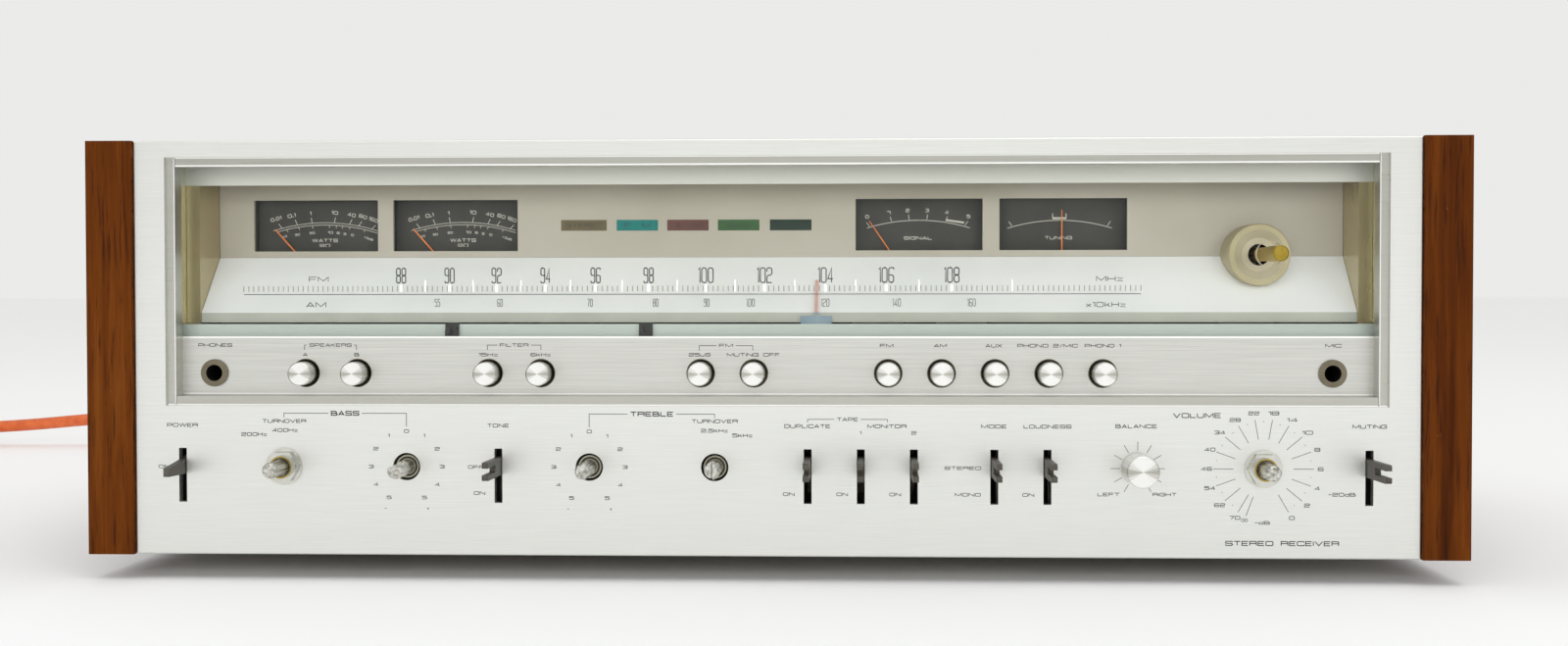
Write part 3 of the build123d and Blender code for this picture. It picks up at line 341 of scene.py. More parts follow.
lead_orange = mottled(
    "lead_orange", srgb(196, 84, 34), srgb(222, 112, 56), 0.48, 160,
    bumpy=0.15, depth=0.0001, rough_range=(0.42, 0.56),
)
plug_orange = mottled(
    "plug_orange", srgb(190, 80, 34), srgb(214, 104, 52), 0.5, 220,
    bumpy=0.2, depth=0.0001, rough_range=(0.44, 0.58),
)
pin_brass = mottled("pin_brass", srgb(186, 160, 90), srgb(206, 180, 106), 0.3, 300, metallic=1.0)


def walnut(name, stretch):
    """Oiled walnut: long dark streaks, fine pores and a slow drift of tone along the grain."""
    material = plain(name, srgb(100, 54, 22), 0.5, Specular_IOR_Level=0.05)
    tree = material.node_tree
    shader = shader_of(material)
    streaks = noise_of(material, 150, stretch, 7.0, 0.66, 0.3)
    tones = ramp(
        material,
        streaks.outputs["Fac"],
        [
            (0.26, srgb(50, 20, 2)),
            (0.42, srgb(73, 33, 4)),
            (0.58, srgb(91, 45, 8)),
            (0.76, srgb(112, 62, 20)),
        ],
    )
    pores = noise_of(material, 900, stretch, 3.0, 0.6)
    pore_mask = spread(material, pores.outputs["Fac"], 0.0, 0.75, 0.56, 0.68)
    darken = tree.nodes.new("ShaderNodeMix")
    darken.data_type = "RGBA"
    darken.inputs["B"].default_value = srgb(44, 20, 8)
    tree.links.new(pore_mask.outputs["Result"], darken.inputs["Factor"])
    tree.links.new(tones.outputs["Color"], darken.inputs["A"])
    tree.links.new(darken.outputs["Result"], shader.inputs["Base Color"])
    worn = spread(material, streaks.outputs["Fac"], 0.36, 0.56)
    tree.links.new(worn.outputs["Result"], shader.inputs["Roughness"])
    bump(material, pores.outputs["Fac"], 0.25, 0.00012)
    return wear(material, 200, srgb(170, 118, 80), 0.5, (0.72, 0.75))


walnut_edge = walnut("walnut_edge", (1, 1, 0.05))
walnut_side = walnut("walnut_side", (1, 0.05, 1))


def clear_pane():
    """Clear glass that lets light straight through and mirrors a little of the room."""
    material = bpy.data.materials.new("clear_pane")
    material.use_nodes = True
    tree = material.node_tree
    tree.nodes.remove(shader_of(material))
    output = tree.nodes["Material Output"]
    through = tree.nodes.new("ShaderNodeBsdfTransparent")
    through.inputs["Color"].default_value = (0.985, 0.99, 0.988, 1)
    mirror = tree.nodes.new("ShaderNodeBsdfGlossy")
    mirror.inputs["Color"].default_value = (1, 1, 1, 1)
    noise = noise_of(material, 30, detail=2.0)
    smears = spread(material, noise.outputs["Fac"], 0.01, 0.05)
    tree.links.new(smears.outputs["Result"], mirror.inputs["Roughness"])
    fresnel = tree.nodes.new("ShaderNodeFresnel")
    fresnel.inputs["IOR"].default_value = 1.2
    mix = tree.nodes.new("ShaderNodeMixShader")
    tree.links.new(fresnel.outputs["Fac"], mix.inputs["Fac"])
    tree.links.new(through.outputs["BSDF"], mix.inputs[1])
    tree.links.new(mirror.outputs["BSDF"], mix.inputs[2])
    tree.links.new(mix.outputs["Shader"], output.inputs["Surface"])
    return material


pane = clear_pane()


def ink(name, colour, roughness=0.6):
    """Printing ink, with a slight mottle."""
    light = tuple(min(1.0, value * 1.15) for value in colour[:3]) + (1.0,)
    return mottled(name, colour, light, roughness, 900)


panel_ink = ink("panel_ink", srgb(36, 36, 35))
scale_ink = ink("scale_ink", srgb(46, 49, 48))
tick_ink = ink("tick_ink", srgb(142, 140, 132))
meter_black = mottled(
    "meter_black", srgb(66, 66, 62), srgb(76, 76, 72), 0.6, 60, Specular_IOR_Level=0.2
)
meter_ink = ink("meter_ink", srgb(196, 194, 182))
mark_white = ink("mark_white", srgb(250, 252, 252), 0.35)


def dress(name, *materials):
    """Puts materials on a CAD node."""
    data = nodes[name].data
    data.materials.clear()
    for material in materials:
        data.materials.append(material)
    for face in data.polygons:
        face.material_index = 0


def choose(name, index, test):
    """Gives another of its materials to the faces of a CAD node that pass test(place, normal),
    where place is the face's centre as X, depth and height in millimetres."""
    data = nodes[name].data
    for face in data.polygons:
        centre = face.center
        place = (centre.x / MM, (centre.y - FRONT_Y) / MM, centre.z / MM)
        if test(place, face.normal):
            face.material_index = index


def from_axis(place, axis):
    """How far a place is from an axis that runs front to back through (X, Z)."""
    return math.hypot(place[0] - axis[0], place[2] - axis[1])


LEVERS = [name for name in nodes if name.endswith("_lever")]
BUTTONS = [name for name in nodes if name.endswith("_button")]
SHAFTS = [name for name in nodes if name.endswith("_shaft") and name != "tuning_shaft"]
NEEDLES = [name for name in nodes if name.endswith("_needle")]

dress("faceplate", face_metal)
dress("button_panel", strip_metal)
dress("window_frame", frame_metal, reveal_metal, mask_metal_painted_light)
choose(
    "window_frame", 1,
    lambda p, n: p[1] > STRIP_DEPTH + 0.1 and abs(p[0]) > GLASS_X - 0.8 and abs(n.x) > 0.7,
)
choose("window_frame", 2, lambda p, n: p[1] > 20.5 and p[2] > MASK_Z - 0.85 and abs(n.y) > 0.5)
dress("dial_glass", pane)
dress("meter_panel", dial_grey)
dress("scale_plate", scale_white, lip_painted_shade)
choose("scale_plate", 1, lambda p, n: p[2] < SCALE_FOOT_Z - 0.05 or n.y > 0.3)
dress("dial_box", cheek_brown, rail_grey, painted_hollow_shade)
choose(
    "dial_box", 1,
    lambda p, n: 13.9 < p[1] < 16.1 and abs(p[0]) < GLASS_X - 0.8 and p[2] > DIAL_FLOOR_TOP_Z,
)
# Painted shade on the dial box's floor, deep in the gap under the scale plate.
choose("dial_box", 2, lambda p, n: p[2] < DIAL_FLOOR_TOP_Z + 0.1)
dress("meter_cases", meter_black)
dress("tuning_collar", collar_cream, collar_dish, painted_hollow_shade)
choose("tuning_collar", 1, lambda p, n: n.y < -0.2 and from_axis(p, TUNING_AT) < 10.2)
# Painted shade inside the tuning collar's bore.
choose("tuning_collar", 2, lambda p, n: abs(n.y) < 0.3 and from_axis(p, TUNING_AT) < 4.4)
dress("side_panels", walnut_side, walnut_edge)
choose("side_panels", 1, lambda p, n: abs(n.y) > 0.5)
dress("chassis", plated_steel, painted_hollow_shade)
# Painted shade on the chassis faces just behind the faceplate.
choose("chassis", 1, lambda p, n: 12.9 < p[1] < 14.6 and p[2] > 12)
dress("top_cover", black_paint)
dress("rear_panel", black_paint)
dress("feet", foot_rubber)
dress("power_transformer", transformer_paint)
dress("heat_sink", sink_black)
dress("circuit_boards", board_green)
dress("control_bodies", plated_steel, nickel, painted_hollow_shade)
choose("control_bodies", 1, lambda p, n: p[1] < 1.3)
dress("jack_sockets", socket_brown, socket_black)
choose(
    "jack_sockets", 1,
    lambda p, n: min(from_axis(p, (jack_x, BUTTON_Z)) for jack_x in JACK_AT) < 3.3,
)
dress("rear_connectors", connector_black, nickel)
choose("rear_connectors", 1, lambda p, n: p[1] > 357 and 38 < p[2] < 80 and p[0] > 25)
dress("screws", nickel)
dress("tuning_shaft", brass)
dress("tuning_drum", drum_white)
dress("dial_pointer", pointer_pink, pointer_blue)
choose("dial_pointer", 1, lambda p, n: p[2] < 104 or abs(p[0] - POINTER_X) > 0.6)
dress("balance_knob", spun_metal_painted_sheen)
dress("bar_aerial", connector_black)
dress("power_plug", plug_orange, pin_brass)
choose("power_plug", 1, lambda p, n: p[1] < PLUG_FRONT_DEPTH - 0.05)
for node in LEVERS:
    dress(node, lever_metal)
for node in BUTTONS:
    dress(node, spun_metal_painted_sheen)
for node in SHAFTS:
    dress(node, shaft_metal)
for node in NEEDLES:
    dress(node, needle_orange)
for node in ("station_marker_left", "station_marker_right"):
    dress(node, marker_black)

# Indicator lenses: one tone for each window, from left to right
LENS_TONES = [
    ("lens_brown", srgb(112, 102, 76)),
    ("lens_teal", srgb(38, 126, 120)),
    ("lens_maroon", srgb(104, 72, 66)),
    ("lens_green", srgb(66, 100, 64)),
    ("lens_dark", srgb(44, 62, 52)),
]


def lens_glass(name, tone):
    """Coloured plastic, with a slightly darker drift of the same tone."""
    darker = tuple(0.85 * value for value in tone[:3]) + (1,)
    return mottled(name, darker, tone, 0.35, 120, Specular_IOR_Level=0.15)


dress("indicator_lenses", *[lens_glass(*lens) for lens in LENS_TONES])
for lens, lens_x in enumerate(LENS_AT):
    choose("indicator_lenses", lens, lambda p, n, x=lens_x: abs(p[0] - x) < LENS_HALF_W)


# Stroke letters: each stroke runs over a grid of columns a to i and rows 0 to 8, and a
# capital column letter rounds that corner off; the number is the letter's relative width
GLYPHS = {
    "A": (1.0, "a0 e8 i0/b2 h2"),
    "B": (1.0, "a4 a8 H8 H4 a4/a0 a4 I4 I0 a0"),
    "C": (1.0, "i6 I8 A8 A0 I0 i2"),
    "D": (1.0, "a0 a8 I8 I0 a0"),
    "E": (0.9, "i8 a8 a0 i0/a4 h4"),
    "F": (0.9, "i8 a8 a0/a4 h4"),
    "G": (1.0, "i6 I8 A8 A0 I0 i4 e4"),
    "H": (1.0, "a0 a8/i0 i8/a4 i4"),
    "I": (0.02, "a0 a8"),
    "K": (0.95, "a0 a8/a4 c4/i8 c4 i0"),
    "L": (0.85, "a8 a0 i0"),
    "M": (1.25, "a0 a8 e1 i8 i0"),
    "N": (1.05, "a0 a8 i0 i8"),
    "O": (1.05, "A0 A8 I8 I0 A0"),
    "P": (1.0, "a0 a8 I8 I3 a3"),
    "R": (1.0, "a0 a8 I8 I4 a4/g4 I4 i0"),
    "S": (1.0, "i6 I8 A8 A4 I4 I0 A0 a2"),
    "T": (0.95, "a8 i8/e0 e8"),
    "U": (1.0, "a8 A0 I0 i8"),
    "V": (1.1, "a8 e0 i8"),
    "W": (1.4, "a8 c0 e8 g0 i8"),
    "X": (1.0, "a8 i0/a0 i8"),
    "d": (0.8, "i8 i0 A0 A5 i5"),
    "k": (0.75, "a0 a8/h6 a2/d4 i0"),
    "x": (0.7, "a5 i0/a0 i5"),
    "z": (0.75, "a5 i5 a0 i0"),
    "µ": (0.75, "a5 A0 I0 i5/i0 i5"),
    "Ω": (1.1, "a0 c0 A3 A8 I8 I3 g0 i0"),
    "0": (1.0, "A0 A8 I8 I0 A0"),
    "1": (0.3, "a7 i8 i0"),
    "2": (1.0, "a6 A8 I8 I4 A4 a0 i0"),
    "3": (1.0, "a7 A8 I8 I4 c4/c4 I4 I0 A0 a1"),
    "4": (1.0, "g0 g8 a2 i2"),
    "5": (1.0, "i8 a8 a5 I5 I0 A0 a1"),
    "6": (1.0, "i7 I8 A8 A0 I0 I4 a4"),
    "7": (0.9, "a8 i8 d0"),
    "8": (1.0, "A4 A8 I8 I4 A4/A0 A4 I4 I0 A0"),
    "9": (1.0, "a1 A0 I0 I8 A8 A4 i4"),
    ".": (0.08, "a0 i0 i1 a1 a0"),
    "-": (0.6, "a4 i4"),
    "+": (0.8, "a4 i4/e1 e7"),
    "/": (0.6, "a0 i8"),
    " ": (0.6, ""),
}
GRID = 8
LETTER_W = 1.25
LETTER_GAP = 0.34
CORNER = 0.26


def rounded(points, soft, radius):
    """A polyline with its soft corners cut into short arcs. It is a loop if it ends where it
    began."""
    loop = points[0] == points[-1]
    path = []
    count = len(points) - 1 if loop else len(points)
    for index in range(count):
        here = Vector(points[index])
        ends = not loop and index in (0, count - 1)
        if ends or not soft[index]:
            path.append(here)
            continue
        before = Vector(points[index - 1]) if index else Vector(points[-2])
        after = Vector(points[(index + 1) % count])
        reach = min(radius, (before - here).length / 2, (after - here).length / 2)
        start = here + (before - here).normalized() * reach
        stop = here + (after - here).normalized() * reach
        for step in range(5):
            share = step / 4
            path.append(start.lerp(here, share).lerp(here.lerp(stop, share), share))
    if loop:
        path.append(path[0])
    return path


# Printing: flat shapes on a surface, given as (X, Z) in millimetres and gathered into one mesh
INK_T = 0.00005
BRACKET_T = 0.22


class Print:
    """Lettering, lines and arcs on one surface, made into one thin mesh."""

    def __init__(self, name, depth, material):
        self.name = name
        self.depth = depth
        self.material = material
        self.mesh = bmesh.new()

    def stroke(self, points, thick):
        """A band of even thickness along points, mitred at its corners."""
        points = [Vector(point) for point in points]
        loop = (points[0] - points[-1]).length < 1e-6
        if loop:
            points.pop()
        pairs = []
        for index, point in enumerate(points):
            has_next = loop or index < len(points) - 1
            before = point - points[index - 1] if loop or index else None
            after = points[(index + 1) % len(points)] - point if has_next else None
            sides = [side.normalized() for side in (before, after) if side is not None]
            along = sum(sides, Vector((0, 0))).normalized()
            across = Vector((-along.y, along.x))
            grow = max(abs(across.dot(Vector((-sides[0].y, sides[0].x)))), 0.5)
            offset = across * (thick / 2 / grow)
            pairs.append(
                [self.mesh.verts.new((end.x, 0, end.y)) for end in (point - offset, point + offset)]
            )
        if loop:
            pairs.append(pairs[0])
        for (low, high), (next_low, next_high) in zip(pairs, pairs[1:]):
            self.mesh.faces.new((low, next_low, next_high, high))

    def line(self, start, end, thick):
        """A straight band."""
        self.stroke([start, end], thick)

    def dot(self, centre, radius):
        """A small filled disc."""
        sides = 10
        corners = []
        for step in range(sides):
            angle = math.tau * step / sides
            corners.append(
                self.mesh.verts.new(
                    (centre[0] + radius * math.cos(angle), 0, centre[1] + radius * math.sin(angle))
                )
            )
        self.mesh.faces.new(corners)

    def arc(self, centre, radius, from_deg, to_deg, thick, steps=32):
        """An arc whose angles are measured from straight up, to the right."""
        turns = [from_deg + (to_deg - from_deg) * step / steps for step in range(steps + 1)]
        self.stroke([polar(centre, radius, turn) for turn in turns], thick)

    def text(self, words, x, z, cap, width=None, bold=0.18, gap=LETTER_GAP, turn=0.0):
        """Words with capitals cap tall, centred on (x, z) and fitted to width; bold is the
        thickness of a stroke as a share of cap."""
        thick = bold * cap
        shares = [GLYPHS[letter][0] for letter in words]
        spaces = gap * cap * (len(words) - 1)
        unit = (width - thick - spaces) / sum(shares) if width else LETTER_W * cap
        total = unit * sum(shares) + spaces
        left = -total / 2
        angle = math.radians(turn)
        sine, cosine = math.sin(angle), math.cos(angle)
        tall = cap - thick
        for letter, share in zip(words, shares):
            for stroke in GLYPHS[letter][1].split("/"):
                if not stroke:
                    continue
                marks = stroke.split()
                places = []
                for mark in marks:
                    dx = left + (ord(mark[0].lower()) - ord("a")) / GRID * unit * share
                    dz = int(mark[1]) / GRID * tall - tall / 2
                    places.append((x + dx * cosine + dz * sine, z - dx * sine + dz * cosine))
                soft = [mark[0].isupper() for mark in marks]
                self.stroke(rounded(places, soft, CORNER * cap), thick)
            left += unit * share + gap * cap

    def finish(self):
        """Lays the print on its surface as a thin solid that rides the fixed body."""
        data = bpy.data.meshes.new(self.name)
        for vertex in self.mesh.verts:
            x, z = vertex.co.x, vertex.co.z
            vertex.co = at(x, self.depth, z)
        for face in self.mesh.faces:
            face.normal_update()
            if face.normal.y > 0:
                face.normal_flip()
        self.mesh.to_mesh(data)
        self.mesh.free()
        data.materials.append(self.material)
        piece = bpy.data.objects.new(self.name, data)
        bpy.context.scene.collection.objects.link(piece)
        thicken = piece.modifiers.new("thickness", "SOLIDIFY")
        thicken.thickness = INK_T
        thicken.offset = 1.0
        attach(piece, "root")


def bracket(sheet, words, x_range, z, drops, cap, width, bold=0.17):
    """A word in the middle of a line that drops at both ends."""
    middle = (x_range[0] + x_range[1]) / 2
    for side, end, drop in zip((-1, 1), x_range, drops):
        beside_word = middle + side * (width / 2 + 1.0)
        sheet.stroke([(beside_word, z), (end, z), (end, z - drop)], BRACKET_T)
    sheet.text(words, middle, z, cap, width, bold)


def polar(centre, radius, degrees):
    """A point at an angle from straight up, to the right."""
    angle = math.radians(degrees)
    return (centre[0] + radius * math.sin(angle), centre[1] + radius * math.cos(angle))


# Faceplate lettering
TITLE_Z = 59.8
ON_Z = 33.9

face_print = Print("faceplate_lettering", 0.0, panel_ink)
for words, x, z, cap, width in [
    ("POWER", -226.4, TITLE_Z, 1.45, 12.0),
    ("ON", -233.6, 43.8, 1.3, 4.4),
    ("TURNOVER", BASS_TURN_X + 0.1, 61.4, 1.45, 17.0),
    ("400Hz", BASS_TURN_X + 0.4, 57.9, 1.45, 10.0),
    ("200Hz", -198.4, 56.3, 1.45, 10.0),
    ("TONE", -103.9, TITLE_Z, 1.45, 8.4),
    ("OFF", -112.6, 43.9, 1.3, 6.0),
    ("ON", -111.2, ON_Z, 1.3, 4.4),
    ("TURNOVER", TREBLE_TURN_X, 61.6, 1.45, 17.6),
    ("2.5kHz", TREBLE_TURN_X, 58.0, 1.45, 10.3),
    ("5kHz", -10.3, 56.2, 1.45, 7.7),
    ("DUPLICATE", 14.4, TITLE_Z, 1.45, 17.5),
    ("MONITOR", 44.6, TITLE_Z, 1.45, 14.8),
    ("1", 34.6, 57.3, 1.3, None),
    ("2", 54.8, 57.3, 1.3, 2.0),
    ("ON", 7.3, ON_Z, 1.3, 4.4),
    ("ON", 27.6, ON_Z, 1.3, 4.4),
    ("ON", 47.7, ON_Z, 1.3, 4.4),
    ("MODE", 85.0, TITLE_Z, 1.45, 9.7),
    ("STEREO", 73.3, 44.0, 1.3, 13.8),
    ("MONO", 75.2, ON_Z, 1.3, 9.8),
    ("LOUDNESS", 105.2, TITLE_Z, 1.45, 18.0),
    ("ON", 98.0, ON_Z, 1.3, 4.4),
    ("BALANCE", 138.5, 60.0, 1.5, 15.6),
    ("LEFT", 128.2, 34.2, 1.35, 8.4),
    ("RIGHT", 149.2, 34.2, 1.35, 9.0),
    ("MUTING", 225.5, 60.0, 1.5, 12.8),
    ("-20dB", 215.3, 34.4, 1.4, 10.2),
    ("-dB", 185.7, 23.7, 1.3, 5.8),
]:
    face_print.text(words, x, z, cap, width)
face_print.text("VOLUME", 161.2, 64.1, 1.9, 18.0)
face_print.text("STEREO", 180.9, 15.9, 1.9, 18.0)
face_print.text("RECEIVER", 203.5, 15.9, 1.9, 21.7)
bracket(face_print, "BASS", (BASS_TURN_X, BASS_X), 64.4, (1.6, 5.0), 1.9, 11.0, bold=0.2)
bracket(face_print, "TREBLE", (TREBLE_X, TREBLE_TURN_X), 64.3, (5.0, 1.4), 1.9, 16.6, bold=0.2)
bracket(face_print, "TAPE", (14.5, 44.8), 62.4, (1.2, 1.2), 1.45, 8.1)
for tone_x in (BASS_X, TREBLE_X):
    centre = (tone_x, ROTARY_Z)
    face_print.text("0", *polar(centre, 13.6, 0), 1.35, 1.9)
    for step in range(1, 6):
        for side in (-1, 1):
            place = polar(centre, 13.7, side * 30 * step)
            face_print.text(str(step), *place, 1.35, None if step == 1 else 1.9)
    face_print.text("-", tone_x - 8.2, 27.9, 1.3, 0.9)
    face_print.text("+", tone_x + 8.2, 27.9, 1.3, 0.9)
balance_at = (BALANCE_X, ROTARY_Z)
for step in range(-5, 6):
    face_print.line(polar(balance_at, 6.8, 30 * step), polar(balance_at, 10.2, 30 * step), 0.2)
volume_at = (VOLUME_X, ROTARY_Z)
VOLUME_MARKS = "70 62 54 46 40 34 28 22 18 14 10 8 6 4 2 0"
for mark, words in enumerate(VOLUME_MARKS.split()):
    angle = -150 + 20 * mark
    face_print.line(polar(volume_at, 11.2, angle), polar(volume_at, 18.8, angle), 0.2)
    face_print.text(words, *polar(volume_at, 21.3, angle), 1.45, 1.95 * len(words) + 0.2)
    if mark:
        face_print.dot(polar(volume_at, 17.8, angle - 10), 0.16)
face_print.line(polar(volume_at, 11.2, -160), polar(volume_at, 18.8, -160), 0.2)
for side in (-1, 1):
    loop_at = polar(volume_at, 20.6, -160)
    face_print.arc((loop_at[0] + side * 0.62, loop_at[1]), 0.55, 0, 360, 0.2, 16)
face_print.finish()

# Button strip lettering
strip_print = Print("strip_lettering", STRIP_DEPTH, panel_ink)
for words, x, z, width in [
    ("PHONES", -216.3, 90.3, 13.4),
    ("A", -180.9, 86.6, 1.9),
    ("B", -160.7, 86.6, 1.9),
    ("15Hz", -109.3, 86.6, 7.6),
    ("6kHz", -88.9, 86.6, 7.9),
    ("25µS", -27.3, 86.6, 8.4),
    ("MUTING OFF", -6.6, 86.6, 20.4),
    ("FM", 44.6, 90.1, 5.2),
    ("AM", 65.1, 90.1, 5.0),
    ("AUX", 85.5, 90.1, 6.4),
    ("PHONO 2/MIC", 106.0, 90.1, 23.0),
    ("PHONO 1", 127.0, 90.1, 13.8),
    ("MIC", 214.0, 90.1, 6.2),
]:
    strip_print.text(words, x, z, 1.35, width)
bracket(strip_print, "SPEAKERS", (-181.2, -160.8), 90.3, (1.9, 1.9), 1.35, 16.6)
bracket(strip_print, "FILTER", (-109.6, -88.8), 90.3, (1.9, 1.9), 1.35, 11.2)
bracket(strip_print, "FM", (-27.4, -6.8), 90.1, (1.9, 1.9), 1.35, 5.4)
strip_print.finish()

# Station scale, printed on the back of the dial glass
GLASS_BACK = 11.56
LINE_Z = 109.9
TICK_Z = (111.0, 113.2)
MARK_Z = (110.9, 113.7)
HALF_MARK_Z = (110.9, 115.4)
SCALE_X = (-205.9, 141.8)
FM_AT = {
    "88": -143.9, "90": -124.9, "92": -106.5, "94": -87.4, "96": -67.9, "98": -47.3,
    "100": -25.1, "102": -2.4, "104": 21.1, "106": 44.5, "108": 69.6,
}
AM_AT = {
    "55": -129.7, "60": -105.2, "70": -70.1, "80": -44.6, "90": -24.8, "100": -7.8,
    "120": 21.0, "140": 48.5, "160": 77.2,
}
scale_print = Print("scale_lettering", GLASS_BACK, scale_ink)
for words, x in FM_AT.items():
    scale_print.text(words, x, 117.2, 6.1, 2.1 * len(words) - 0.2, bold=0.07, gap=0.11)
for words, x in AM_AT.items():
    scale_print.text(words, x, 106.6, 3.1, 1.1 * len(words) - 0.1, bold=0.075, gap=0.14)
scale_print.text("FM", -176.3, 115.8, 2.0, 7.8, bold=0.14)
scale_print.text("AM", -177.4, 105.9, 2.1, 8.0, bold=0.14)
scale_print.text("MHz", 129.9, 115.7, 2.0, 10.3, bold=0.14)
scale_print.text("x10kHz", 128.5, 105.8, 2.0, 15.2, bold=0.14)
scale_print.line((SCALE_X[0], LINE_Z), (SCALE_X[1], LINE_Z), 0.28)
scale_print.finish()

tick_print = Print("scale_ticks", GLASS_BACK, tick_ink)
TICKS = 178
for tick in range(TICKS + 1):
    tick_x = SCALE_X[0] + (SCALE_X[1] - SCALE_X[0]) * tick / TICKS
    tick_print.line((tick_x, TICK_Z[0]), (tick_x, TICK_Z[1]), 0.36)
tick_print.finish()

mark_print = Print("scale_marks", GLASS_BACK - 0.06, mark_white)
fm_places = list(FM_AT.values())
for place in fm_places:
    mark_print.line((place, MARK_Z[0]), (place, MARK_Z[1]), 1.15)
half_places = [(left + right) / 2 for left, right in zip(fm_places, fm_places[1:])]
for place in [*half_places, 92.8]:
    mark_print.line((place, HALF_MARK_Z[0]), (place, HALF_MARK_Z[1]), 0.55)
mark_print.finish()

# Painted highlights along the edges of the window frame and button strip, the frame's dark joints,
# painted shade in the button holes' clearance, and brass rings with painted shade in the gaps round
# the shafts
frame_highlight_print = Print("frame_edge_highlights", FRAME_DEPTH, painted_edge_highlight)
frame_highlight_print.line((-229.0, 159.45), (229.0, 159.45), 0.6)
frame_highlight_print.line((-229.0, 162.45), (229.0, 162.45), 0.35)
frame_highlight_print.line((-232.4, 67.6), (232.4, 67.6), 0.45)
for side in (-1, 1):
    frame_highlight_print.line((side * 229.5, 68.0), (side * 229.5, 162.6), 0.3)
frame_highlight_print.finish()
joint_print = Print("frame_joints", FRAME_DEPTH, joint_dark)
for side in (-1, 1):
    joint_print.line((side * 229.2, 159.1), (side * 229.2, 162.7), 0.25)
    joint_print.line((side * 229.2, 67.3), (side * 229.2, 70.9), 0.25)
joint_print.finish()
# Painted highlights along the button strip's top and bottom edges.
strip_highlight_print = Print("strip_edge_highlights", STRIP_DEPTH, painted_edge_highlight)
strip_highlight_print.line((-229.0, 93.35), (229.0, 93.35), 0.6)
strip_highlight_print.line((-229.0, 71.5), (229.0, 71.5), 0.5)
strip_highlight_print.finish()
# Painted shade in the clearance round each button hole.
hole_shade_print = Print("button_hole_shade", STRIP_DEPTH, hole_rim_shade)
for button_x in BUTTON_AT:
    hole_shade_print.arc((button_x, BUTTON_Z), 5.42, 0, 360, 0.24, 40)
hole_shade_print.finish()
BUSH_FRONT = -5.0
# Painted shade: dark rings for the gaps round the bass turnover and volume shafts, with real brass
# bushing rings outside them.
shaft_gap_shade_print = Print("shaft_gap_shade", BUSH_FRONT, painted_hollow_shade)
ring_print = Print("bush_rings", BUSH_FRONT, brass)
for shaft_x in (BASS_TURN_X, VOLUME_X):
    shaft_gap_shade_print.arc((shaft_x, ROTARY_Z), 3.4, 0, 360, 0.5, 32)
    ring_print.arc((shaft_x, ROTARY_Z), 4.0, 0, 360, 0.6, 32)
# Painted shade: dark rings for the gaps round the bass, treble and treble turnover shafts.
bush_gap_shade_print = Print("bush_gap_shade", FRAME_DEPTH, painted_hollow_shade)
for shaft_x in (BASS_X, TREBLE_X, TREBLE_TURN_X):
    bush_gap_shade_print.arc((shaft_x, ROTARY_Z), 3.45, 0, 360, 0.7, 32)
bush_gap_shade_print.finish()
shaft_gap_shade_print.finish()
ring_print.finish()

# Meter faces
FACE_DEPTH = 51.1
FACE_SHIFT = -1.3
ARC_R = 71.0
ARC_TOP_Z = 139.1
meter_print = Print("meter_lettering", FACE_DEPTH, meter_ink)


def meter_arc(centre_x, top_z, span_x, thick):
    """A shallow scale arc that is top_z high over centre_x and ends at span_x either side."""
    centre = (centre_x, top_z - ARC_R)
    angles = [math.degrees(math.asin(end / ARC_R)) for end in span_x]
    meter_print.arc(centre, ARC_R, *angles, thick)


def on_arc(centre_x, top_z, x):
    """The height of that arc over x."""
    return top_z - ARC_R + math.sqrt(ARC_R**2 - (x - centre_x) ** 2)


def ray(pivot, x, z, length, thick):
    """A tick that starts at (x, z) and runs away from the pivot."""
    away = Vector((x - pivot[0], z - pivot[1])).normalized()
    meter_print.line((x, z), (x + away.x * length, z + away.y * length), thick)


WATT_MARKS = [
    ("0.01", -14.9, -17.4, 140.7, 4.6), ("0.1", -8.5, -10.9, 142.0, 3.4),
    ("1", -2.4, -3.1, 142.9, None), ("10", 6.8, 7.0, 143.2, 2.8),
    ("40", 13.1, 14.0, 142.3, 3.4), ("80", 16.9, 18.7, 141.6, 3.4),
    ("160", 22.3, 23.0, 140.3, 4.0),
]
DB_MARKS = [
    ("40", -13.9, 133.4), ("30", -8.6, 134.2), ("20", -2.4, 134.9), ("10", 5.2, 135.1),
    ("6", 8.4, 134.9), ("3", 11.1, 134.5), ("0", 14.3, 134.0), ("+3dB", 21.0, 132.6),
]
for centre_x in POWER_METERS_X:
    left = centre_x + FACE_SHIFT
    arc_x = left + 3.0
    meter_arc(arc_x, ARC_TOP_Z, (-21.5, 21.6), 0.22)
    meter_arc(arc_x, ARC_TOP_Z - 0.95, (-20.0, 21.6), 0.22)
    for words, tick_x, word_x, word_z, wide in WATT_MARKS:
        foot_x = left + tick_x
        foot_z = on_arc(arc_x, ARC_TOP_Z, foot_x)
        ray((centre_x, POWER_PIVOT_Z), foot_x, foot_z, 2.3, 0.24)
        meter_print.text(words, left + word_x, word_z, 1.5, wide, turn=word_x * 0.9)
    for words, word_x, word_z in DB_MARKS:
        foot_x = left + word_x * 0.94
        foot_z = on_arc(arc_x, ARC_TOP_Z - 0.95, foot_x)
        ray((centre_x, POWER_PIVOT_Z), foot_x, foot_z, -1.2, 0.2)
        meter_print.text(
            words, left + word_x, word_z, 0.95, 0.95 * len(words) + 0.3, bold=0.2, turn=word_x * 0.9
        )
    meter_print.text("WATTS", left + 2.9, 131.8, 1.4, 10.6)
    meter_print.text("8Ω", left + 2.9, 129.8, 1.2, 4.4)

